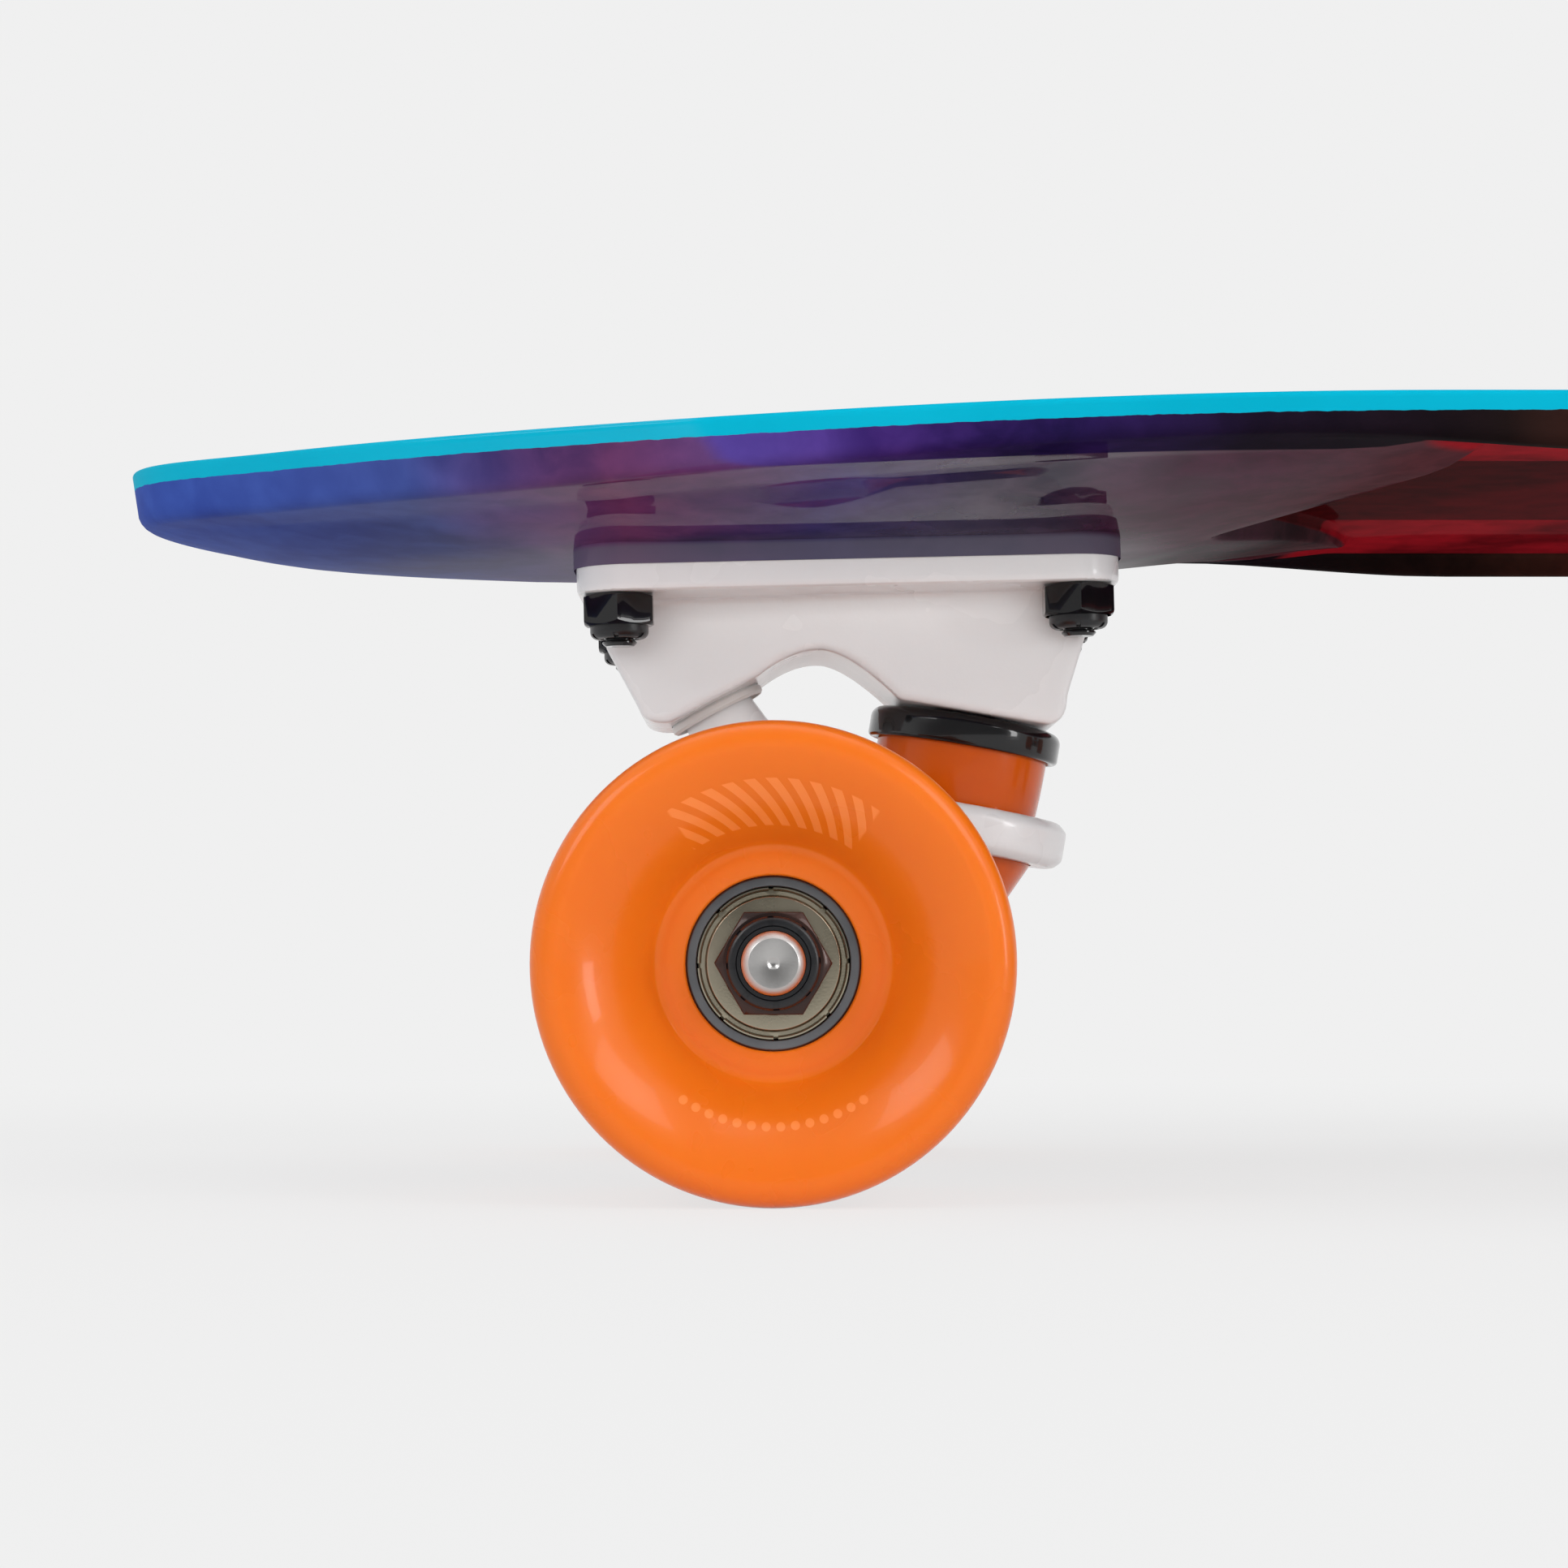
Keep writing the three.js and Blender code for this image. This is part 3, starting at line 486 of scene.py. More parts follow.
class Shader:
    """A node tree under construction, of a material or of a shader node group."""

    def __init__(self, tree: bpy.types.NodeTree) -> None:
        """Starts on an empty tree.

        Args:
            tree: the node tree.
        """
        self.tree = tree

    def node(self, kind: str, inputs: dict | None = None, **settings: object) -> Node:
        """One node, with its settings and inputs.

        Args:
            kind: the node's type.
            inputs: for each input, a value or the output that feeds it.
            settings: the node's own values.

        Returns:
            The node.
        """
        node = self.tree.nodes.new(kind)
        for name, value in settings.items():
            setattr(node, name, value)
        for key, value in (inputs or {}).items():
            if isinstance(value, Socket):
                self.tree.links.new(value, node.inputs[key])
            else:
                node.inputs[key].default_value = value
        return node

    def math(self, how: str, *values: object, clamp: bool = False) -> Socket:
        """A Math node's output.

        Args:
            how: the operation.
            values: numbers or outputs.
            clamp: whether the result is kept between 0 and 1.

        Returns:
            The result.
        """
        node = self.node("ShaderNodeMath", dict(enumerate(values)), operation=how, use_clamp=clamp)
        return node.outputs[0]

    def times(self, first: object, *others: object) -> Socket:
        """The product of numbers and outputs.

        Args:
            first: the first factor.
            others: the other factors.

        Returns:
            The product.
        """
        for other in others:
            first = self.math("MULTIPLY", first, other)
        return first

    def shaders(self, share: object, a: Node, b: Node) -> Node:
        """A mix of two shaders.

        Args:
            share: how much of b there is.
            a: the first shader's node.
            b: the second shader's node.

        Returns:
            The mix's node.
        """
        return self.node("ShaderNodeMixShader", {0: share, 1: a.outputs[0], 2: b.outputs[0]})

    def feed(self, node: Node, **values: Socket) -> None:
        """Links outputs to a node's inputs.

        Args:
            node: the node that is fed.
            values: the outputs, by the inputs' names with _ for a space.
        """
        for name, value in values.items():
            self.tree.links.new(value, node.inputs[name.replace("_", " ")])

    def mix(self, share: object, a: object, b: object) -> Socket:
        """A colour mix.

        Args:
            share: how much of b there is.
            a: a colour or an output.
            b: a colour or an output.

        Returns:
            The mixed colour.
        """
        colours = [(*c, 1) if isinstance(c, tuple) else c for c in (a, b)]
        node = self.node("ShaderNodeMix", data_type="RGBA")
        for key, value in (("Factor", share), ("A", colours[0]), ("B", colours[1])):
            kind = "VALUE" if key == "Factor" else "RGBA"
            socket = next(s for s in node.inputs if s.name == key and s.type == kind)
            if isinstance(value, Socket):
                self.tree.links.new(value, socket)
            else:
                socket.default_value = value
        return next(s for s in node.outputs if s.type == "RGBA")

    def ramp(self, value: Socket, *stops: tuple[float, Colour]) -> Socket:
        """A colour ramp.

        Args:
            value: where on the ramp.
            stops: places and their colours.

        Returns:
            The colour.
        """
        node = self.node("ShaderNodeValToRGB", {0: value})
        elements = node.color_ramp.elements
        while len(elements) < len(stops):
            elements.new(1)
        for element, (place, colour) in zip(elements, stops):
            element.position = place
            element.color = (*colour, 1)
        return node.outputs["Color"]

    def step(self, value: object, low: float, high: float, to: Point = (0, 1)) -> Socket:
        """A smooth step between two values.

        Args:
            value: the number or output that is read.
            low: where the step starts.
            high: where it ends.
            to: the results below and above.

        Returns:
            The result.
        """
        ends = {"Value": value, "From Min": low, "From Max": high, "To Min": to[0], "To Max": to[1]}
        return self.node("ShaderNodeMapRange", ends, interpolation_type="SMOOTHSTEP").outputs[0]

    def noise(self, where: Socket, size: float, detail: float = 2, warp: float = 0) -> Socket:
        """Noise of a real size.

        Args:
            where: the coordinates.
            size: how large its features are, in metres.
            detail: how many octaves it has.
            warp: how far it is distorted.

        Returns:
            The noise, from 0 to 1.
        """
        inputs = {"Vector": where, "Scale": 1 / size, "Detail": detail, "Distortion": warp}
        return self.node("ShaderNodeTexNoise", inputs).outputs["Fac"]

    def bump(self, height: Socket, depth: float) -> Socket:
        """A bump of a real depth.

        Args:
            height: the height, from 0 to 1.
            depth: what 1 stands for, in metres.

        Returns:
            The normal.
        """
        inputs = {"Height": height, "Distance": depth, "Strength": 1.0}
        return self.node("ShaderNodeBump", inputs).outputs["Normal"]


def emptied(owner: bpy.types.Material | bpy.types.World) -> Shader:
    """Clears the node tree of a material or a world.

    Args:
        owner: what the tree belongs to.

    Returns:
        The empty tree.
    """
    owner.use_nodes = True
    owner.node_tree.nodes.clear()
    return Shader(owner.node_tree)


def grain_group() -> bpy.types.NodeTree:
    """The fine unevenness that every finish has, as a shader node group built once.

    Returns:
        The group: from Vector, Scale, Roughness and Spread it makes Tone, Roughness and Height.
    """
    found = bpy.data.node_groups.get("surface grain")
    if found:
        return found
    tree = bpy.data.node_groups.new("surface grain", "ShaderNodeTree")
    for name, kind in (("Vector", "Vector"), ("Scale", "Float"), ("Roughness", "Float"), ("Spread", "Float")):
        tree.interface.new_socket(name, in_out="INPUT", socket_type=f"NodeSocket{kind}")
    for name in ("Tone", "Roughness", "Height"):
        tree.interface.new_socket(name, in_out="OUTPUT", socket_type="NodeSocketFloat")
    make = Shader(tree)
    entry = make.node("NodeGroupInput")
    scale = entry.outputs["Scale"]
    where = entry.outputs["Vector"]
    wide = make.node("ShaderNodeTexNoise", {"Vector": where, "Detail": 3.0})
    make.feed(wide, Scale=make.times(scale, 0.04))
    fine = make.node("ShaderNodeTexNoise", {"Vector": where, "Detail": 2.0})
    make.feed(fine, Scale=scale)
    tone = make.step(wide.outputs["Fac"], 0.25, 0.75)
    swing = make.times(make.math("SUBTRACT", tone, 0.5), entry.outputs["Spread"])
    rough = make.math("ADD", entry.outputs["Roughness"], swing, clamp=True)
    make.node("NodeGroupOutput", {"Tone": tone, "Roughness": rough, "Height": fine.outputs["Fac"]})
    return tree


@dataclass(frozen=True)
class Finish:
    """A finish of one colour, with the slight unevenness of the real surface."""

    name: str
    slot: str
    colour: Colour
    shade: Colour
    roughness: float
    spread: float = 0.08
    metallic: float = 0.0
    coat: float = 0.0
    grain: float = 0.0004
    depth: float = 0.00001
    subsurface: float = 0.0
    specular: float = 0.5

    def material(self) -> bpy.types.Material:
        """The finish's material, built once."""
        found = bpy.data.materials.get(self.name)
        return found or self.built()

    def built(self) -> bpy.types.Material:
        """Builds the material.

        Returns:
            The new material.
        """
        material = bpy.data.materials.new(self.name)
        make = emptied(material)
        where = make.node("ShaderNodeTexCoord").outputs["Object"]
        surface = make.node("ShaderNodeBsdfPrincipled")
        values = {"Metallic": self.metallic, "Coat Weight": self.coat, "Coat Roughness": 0.04}
        values["Specular IOR Level"] = self.specular
        if self.subsurface:
            values["Subsurface Weight"] = self.subsurface
            values["Subsurface Radius"] = (1.0, 0.35, 0.1)
            values["Subsurface Scale"] = 2 * MM
        for key, value in values.items():
            surface.inputs[key].default_value = value
        grain = make.node("ShaderNodeGroup", node_tree=grain_group())
        for key, value in (("Scale", 1 / self.grain), ("Roughness", self.roughness), ("Spread", self.spread)):
            grain.inputs[key].default_value = value
        make.feed(grain, Vector=where)
        self.paint(make, where, grain, surface)
        make.node("ShaderNodeOutputMaterial", {"Surface": surface.outputs[0]})
        return material

    def paint(self, make: Shader, where: Socket, grain: Node, surface: Node) -> None:
        """Feeds the surface's colour, roughness and normal.

        Args:
            make: the material's tree.
            where: the object's coordinates.
            grain: the surface grain.
            surface: the shader that is fed.
        """
        colour = make.mix(grain.outputs["Tone"], self.shade, self.colour)
        normal = make.bump(grain.outputs["Height"], self.depth)
        make.feed(surface, Base_Color=colour, Roughness=grain.outputs["Roughness"], Normal=normal)


@dataclass(frozen=True)
class WheelFinish(Finish):
    """Cast urethane with a ring of tone-on-tone marks, read from the face's own map."""

    mark: Colour = (0.95, 0.27, 0.06)
    mark_strength: float = 0.75
    half_turn: float = 0.61
    bar_slant: float = 2.4
    bar_pitch: float = 0.06
    bar_edge: Point = (0.026, 0.030)
    bar_rings: tuple[Point, Point] = ((0.285, 0.288), (0.382, 0.379))
    dot_pitch: float = 0.09
    dot_ring: float = 0.335
    dot_edge: Point = (0.00010, 0.00007)

    def paint(self, make: Shader, where: Socket, grain: Node, surface: Node) -> None:
        """Adds the marks: slanted bars above the hub and dots below it."""
        super().paint(make, where, grain, surface)
        flat = make.node("ShaderNodeUVMap", uv_map="face")
        across, up, _ = make.node("ShaderNodeSeparateXYZ", {0: flat.outputs["UV"]}).outputs
        across = make.math("SUBTRACT", across, 0.5)
        up = make.math("SUBTRACT", up, 0.5)
        square = make.math("ADD", make.math("POWER", across, 2), make.math("POWER", up, 2))
        radius = make.math("POWER", square, 0.5)
        turn = make.math("ARCTAN2", across, up)
        above = make.math("ABSOLUTE", turn)
        below = make.math("SUBTRACT", math.pi, above)
        ends = (self.half_turn + 0.01, self.half_turn - 0.01)
        slanted = make.math("ADD", turn, make.times(radius, self.bar_slant))
        bar = make.math("PINGPONG", slanted, self.bar_pitch)
        bars = make.times(make.step(bar, *self.bar_edge), make.step(above, *ends))
        for ring in self.bar_rings:
            bars = make.times(bars, make.step(radius, *ring))
        dot_turn = make.math("SUBTRACT", make.math("PINGPONG", below, self.dot_pitch), self.dot_pitch / 2)
        dot_side = make.math("POWER", make.times(dot_turn, self.dot_ring), 2)
        dot_out = make.math("POWER", make.math("SUBTRACT", radius, self.dot_ring), 2)
        gap = make.math("ADD", dot_side, dot_out)
        dots = make.times(make.step(gap, *self.dot_edge), make.step(below, ends[0] + 0.02, ends[1] + 0.02))
        plain = surface.inputs["Base Color"].links[0].from_socket
        marks = make.times(make.math("MAXIMUM", bars, dots), self.mark_strength)
        make.feed(surface, Base_Color=make.mix(marks, plain, self.mark))


@dataclass(frozen=True)
class BoardFinish(Finish):
    """Cyan plastic with a marbled print on the wall and underside, under a thin clear coat."""

    band: float = 2.45 * MM
    length: float = 572 * MM
    recess_half: float = 70 * MM
    recess_ends: tuple[Point, Point] = ((0.255, 0.265), (0.675, 0.665))
    ceiling_depth: Point = (4.7 * MM, 4.2 * MM)
    pad_depth: Point = (11.0 * MM, 12.2 * MM)
    panel_half: float = 31.5 * MM
    shoulder: float = 62.5 * MM
    panel_reds: tuple[Colour, Colour] = ((0.130, 0.006, 0.010), (0.400, 0.012, 0.022))
    ceiling_brown: Colour = (0.020, 0.005, 0.005)
    # Painted reflection: the pale grey that the pads' sides take, standing for the white baseplate mirrored
    # in the glossy hull.
    painted_plate_reflection: Colour = (0.150, 0.145, 0.200)

    def recess(self, make: Shader, place: Socket, aside: Socket, depth: Socket) -> Socket:
        """1 on the ceiling of the recess, and 0 elsewhere below the band.

        Args:
            make: the material's tree.
            place: the share of the length.
            aside: the distance from the centreline.
            depth: the depth below the top.

        Returns:
            The mask.
        """
        wide = make.step(aside, self.recess_half - MM, self.recess_half - 1.5 * MM)
        mask = make.times(make.step(depth, *self.ceiling_depth), wide)
        for ends in self.recess_ends:
            mask = make.times(mask, make.step(place, *ends))
        return mask

    def marbling(self, make: Shader, where: Socket) -> Socket:
        """The print's pattern of veins and clouds.

        Args:
            make: the material's tree.
            where: the object's coordinates.

        Returns:
            The pattern, from 0 to 1.
        """
        warped = make.node("ShaderNodeTexNoise", {"Vector": where, "Scale": 14.0, "Detail": 2.0})
        shift = make.node("ShaderNodeVectorMath", {0: warped.outputs["Color"]}, operation="SCALE")
        shift.inputs["Scale"].default_value = 0.06
        bent = make.node("ShaderNodeVectorMath", {0: where, 1: shift.outputs[0]}, operation="ADD")
        stretched = make.node("ShaderNodeMapping", {"Vector": bent.outputs[0], "Scale": (1, 1, 2.2)})
        waves = {"Vector": stretched.outputs[0], "Scale": 5.5, "Distortion": 7.0, "Detail": 3.0}
        waves["Detail Scale"] = 1.6
        veins = make.node("ShaderNodeTexWave", waves, bands_direction="DIAGONAL")
        marble = make.step(veins.outputs["Fac"], 0.15, 0.85)
        cloud = make.step(make.noise(where, 0.006, 5, 0.4), 0.30, 0.72)
        return make.math("ADD", make.times(marble, 0.6), make.times(cloud, 0.4))

    def paint(self, make: Shader, where: Socket, grain: Node, surface: Node) -> None:
        """Paints the print below the band, from the depth that the mesh carries, and a pale grey on the pads'
        sides as a painted reflection of the white baseplate.
        """
        super().paint(make, where, grain, surface)
        depth = make.node("ShaderNodeAttribute", attribute_name="drop").outputs["Fac"]
        frayed = make.times(make.math("SUBTRACT", make.noise(where, 0.002), 0.5), 0.0003)
        printed = make.step(make.math("ADD", depth, frayed), self.band, self.band + 0.00008)
        along, across, _ = make.node("ShaderNodeSeparateXYZ", {0: where}).outputs
        drift = make.times(make.math("SUBTRACT", make.noise(where, 0.05, 3), 0.5), 0.06)
        place = make.math("ADD", make.math("DIVIDE", along, self.length), 0.5)
        share = make.math("ADD", place, drift)
        aside = make.math("ABSOLUTE", across)
        hollow = self.recess(make, place, aside, depth)
        inner = make.math("MAXIMUM", hollow, make.step(aside, self.shoulder + MM, self.shoulder))
        light = make.mix(inner, make.ramp(share, *self.LIGHTS), make.ramp(share, *self.INNER_LIGHTS))
        dark = make.mix(inner, make.ramp(share, *self.DARKS), make.ramp(share, *self.INNER_DARKS))
        blend = self.marbling(make, where)
        artwork = make.mix(hollow, make.mix(blend, dark, light), make.mix(blend, *self.panel_reds))
        middle = make.times(hollow, make.step(aside, self.panel_half + MM, self.panel_half))
        artwork = make.mix(make.times(middle, 0.75), artwork, self.ceiling_brown)
        # Painted reflection: below 11 mm the pads' sides are mixed towards a pale grey that stands for the
        # white baseplate mirrored in the hull.
        artwork = make.mix(make.step(depth, *self.pad_depth, (0, 0.65)), artwork, self.painted_plate_reflection)
        colour = make.mix(printed, surface.inputs["Base Color"].links[0].from_socket, artwork)
        outer = make.math("MAXIMUM", hollow, make.step(inner, 1, 0))
        shine = make.mix(outer, make.ramp(share, *self.SHINES), (self.coat / 10,) * 3)
        make.feed(surface, Base_Color=colour, Coat_Weight=shine)

    SHINES = (
        (0.02, (0.08, 0.08, 0.08)),
        (0.10, (0.18, 0.18, 0.18)),
        (0.21, (0.60, 0.60, 0.60)),
        (0.26, (0.14, 0.14, 0.14)),
        (0.30, (0.03, 0.03, 0.03)),
        (0.70, (0.03, 0.03, 0.03)),
        (0.78, (0.30, 0.30, 0.30)),
        (0.95, (0.10, 0.10, 0.10)),
    )

    LIGHTS = (
        (0.00, (0.040, 0.095, 0.430)),
        (0.08, (0.045, 0.085, 0.400)),
        (0.13, (0.105, 0.075, 0.370)),
        (0.18, (0.095, 0.040, 0.260)),
        (0.22, (0.035, 0.015, 0.120)),
        (0.26, (0.012, 0.007, 0.018)),
        (0.32, (0.012, 0.007, 0.007)),
        (0.38, (0.070, 0.024, 0.016)),
        (0.50, (0.220, 0.012, 0.020)),
        (0.66, (0.120, 0.012, 0.050)),
        (0.78, (0.075, 0.040, 0.260)),
        (0.90, (0.050, 0.085, 0.400)),
    )
    DARKS = (
        (0.00, (0.022, 0.050, 0.300)),
        (0.08, (0.026, 0.045, 0.260)),
        (0.13, (0.050, 0.035, 0.230)),
        (0.18, (0.030, 0.012, 0.110)),
        (0.22, (0.010, 0.006, 0.040)),
        (0.26, (0.004, 0.003, 0.006)),
        (0.31, (0.004, 0.003, 0.004)),
        (0.36, (0.014, 0.006, 0.005)),
        (0.50, (0.040, 0.004, 0.006)),
        (0.66, (0.018, 0.004, 0.014)),
        (0.78, (0.014, 0.010, 0.080)),
        (0.90, (0.020, 0.040, 0.240)),
    )
    INNER_LIGHTS = (
        (0.00, (0.040, 0.095, 0.430)),
        (0.08, (0.050, 0.080, 0.300)),
        (0.13, (0.165, 0.040, 0.130)),
        (0.17, (0.070, 0.060, 0.260)),
        (0.21, (0.125, 0.100, 0.170)),
        (0.25, (0.075, 0.014, 0.050)),
        (0.30, (0.110, 0.030, 0.040)),
        (0.62, (0.300, 0.009, 0.024)),
        (0.76, (0.090, 0.025, 0.140)),
        (0.88, (0.060, 0.085, 0.380)),
    )
    INNER_DARKS = (
        (0.00, (0.022, 0.050, 0.300)),
        (0.08, (0.024, 0.036, 0.170)),
        (0.13, (0.045, 0.012, 0.070)),
        (0.17, (0.026, 0.018, 0.120)),
        (0.21, (0.030, 0.024, 0.070)),
        (0.25, (0.010, 0.004, 0.010)),
        (0.30, (0.025, 0.008, 0.012)),
        (0.62, (0.030, 0.004, 0.010)),
        (0.76, (0.010, 0.008, 0.060)),
        (0.88, (0.020, 0.040, 0.240)),
    )


DECK_PLASTIC = BoardFinish(
    "deck plastic", "deck_plastic", (0.003, 0.425, 0.600), (0.002, 0.390, 0.560), 0.30,
    coat=0.20, grain=0.0009, depth=0.0000015, specular=0.0,
)
WHITE_CASTING = Finish(
    "white casting", "white_casting", (0.865, 0.875, 0.880), (0.845, 0.855, 0.860), 0.26,
    coat=0.35, grain=0.0007, depth=0.000014,
)
WHEEL_URETHANE = WheelFinish(
    "wheel urethane", "wheel_urethane", (0.810, 0.168, 0.008), (0.790, 0.156, 0.007), 0.28,
    coat=0.15, grain=0.0006, depth=0.000004, subsurface=0.2, specular=0.25,
)
BUSHING_URETHANE = Finish(
    "bushing urethane", "bushing_urethane", (0.720, 0.110, 0.001), (0.660, 0.095, 0.001), 0.20,
    coat=0.15, subsurface=0.2, specular=0.2,
)
CUP_PLASTIC = Finish("cup plastic", "cup_plastic", (0.74, 0.73, 0.71), (0.71, 0.70, 0.68), 0.42)
BLACK_STEEL = Finish(
    "black steel", "black_steel", (0.006, 0.006, 0.007), (0.004, 0.004, 0.005), 0.20,
    coat=0.6, specular=0.2,
)
BLACK_NYLON = Finish("black nylon", "black_steel", (0.010, 0.011, 0.013), (0.007, 0.007, 0.009), 0.34)
DARK_STEEL = Finish(
    "dark steel", "dark_steel", (0.055, 0.024, 0.018), (0.024, 0.012, 0.010), 0.30,
    metallic=0.7, coat=0.3,
)
BRIGHT_STEEL = Finish(
    "bright steel", "bright_steel", (0.62, 0.61, 0.60), (0.50, 0.49, 0.48), 0.36,
    spread=0.14, metallic=1.0, grain=0.0002,
)
RING_STEEL = Finish(
    "ring steel", "bright_steel", (0.200, 0.205, 0.215), (0.150, 0.155, 0.165), 0.36,
    metallic=0.9, grain=0.0002,
)
SHIELD_STEEL = Finish(
    "shield steel", "bright_steel", (0.430, 0.390, 0.300), (0.330, 0.295, 0.220), 0.30,
    spread=0.16, metallic=1.0, grain=0.0003,
)


def delivered(piece: Object, body: str, *nodes: str) -> Object:
    """Hands a finished piece over: its body and the solids that it stands for.

    Args:
        piece: the finished piece, its material already on it.
        body: the body that it moves with.
        nodes: the solids that it replaces.

    Returns:
        The same piece.
    """
    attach(piece, body)
    if nodes:
        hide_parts(*nodes)
    LOG.info("%s rides on %s, %d faces", piece.name, body, len(piece.data.polygons))
    return piece


def dressed(piece: Object, finish: Finish) -> Object:
    """Gives a piece one finish.

    Args:
        piece: the piece.
        finish: its finish.

    Returns:
        The same piece.
    """
    piece.data.materials.clear()
    piece.data.materials.append(finish.material())
    return piece


# Fasteners


@dataclass
class HexNut:
    """A hexagon nut with turned corners, and a nylon collar if it has one. It stands on Z = 0."""

    across: float
    height: float
    bore: float
    steel: Finish
    collar: float = 0
    collar_inset: float = 0
    crimps: int = 0
    chamfer: float = 0.55 * MM

    def corners(self) -> float:
        """The nut's radius at its corners."""
        return self.across / 2 / math.cos(math.pi / 6)

    def block(self, name: str) -> Object:
        """The steel nut, its corners cut back by a turned chamfer at both ends.

        Args:
            name: the object's name.

        Returns:
            The nut, its corners along X.
        """
        corner = self.corners()
        nut = extruded(outline(name, hexagon(corner), filled=True), Vector((0, 0, self.height)))
        slope = math.tan(math.radians(30))
        past = self.chamfer
        inner = self.across / 2 - self.chamfer / 3 - past / slope
        wide = corner + past
        rise = (wide - inner) * slope - past
        envelope = [(0, -past), (inner, -past), (wide, rise), (wide, self.height - rise)]
        envelope += [(inner, self.height + past), (0, self.height + past)]
        combined(nut, "INTERSECT", spun("nut envelope", envelope))
        combined(nut, "DIFFERENCE", rod("nut bore", self.bore / 2, -self.height, 2 * self.height))
        softened(nut, 0.12 * MM, 2, 25)
        return dressed(rounded(nut), self.steel)

    def ring(self, name: str) -> Object:
        """The collar with its nylon insert and the small nicks that keep it in.

        Args:
            name: the object's name.

        Returns:
            The collar.
        """
        outer = self.across / 2 - self.collar_inset
        top = self.height + self.collar
        soft = self.collar * 0.55
        low = self.height - self.chamfer
        profile = [(self.bore / 2, low), (outer, low)]
        profile += arc((outer - soft, top - soft), (soft, soft), 0, 90, 5)
        lip = outer - soft - 0.35 * MM
        profile += [(lip, top), (lip - 0.15 * MM, top - 0.25 * MM), (self.bore / 2, top - 0.25 * MM)]
        steps = 12 * max(self.crimps, 6)
        ring = spun(name, profile, steps)
        if self.crimps:
            pitch = math.tau / self.crimps
            deep = -0.28 * MM

            def nicked(face: Face) -> bool:
                centre = face.center
                turn = math.atan2(centre.y, centre.x) % pitch
                reach = math.hypot(centre.x, centre.y)
                return turn < math.tau / steps * 2 and centre.z > top - soft * 0.6 and reach > lip

            choose_faces(ring, nicked)
            with marked(ring):
                bpy.ops.mesh.extrude_region_move(TRANSFORM_OT_translate={"value": (0, 0, deep)})
            cleaned(ring)
        return dressed(rounded(ring), BLACK_NYLON)

    def built(self, name: str) -> Object:
        """The whole nut.

        Args:
            name: the object's name.

        Returns:
            The nut with its collar.
        """
        nut = self.block(name)
        if self.collar:
            nut = joined(name, nut, self.ring(f"{name} collar"))
        return nut


def threaded(radius: float, low: float, high: float, pitch: float, way: int = 1) -> Profile:
    """The ridges of a thread, as rings, along a profile's outer side.

    Args:
        radius: the thread's outer radius.
        low: where it starts.
        high: where it ends.
        pitch: the distance from ridge to ridge.
        way: 1 for points that climb, -1 for points that come down.

    Returns:
        The points.
    """
    count = max(1, round((high - low) / pitch))
    deep = radius - pitch * 0.45
    points = []
    for turn in range(count):
        foot = low + turn * (high - low) / count
        points += [(radius, foot + pitch * 0.06), (radius, foot + pitch * 0.22)]
        points += [(deep, foot + pitch * 0.54), (deep, foot + pitch * 0.74)]
    return points if way > 0 else points[::-1]


# Truck


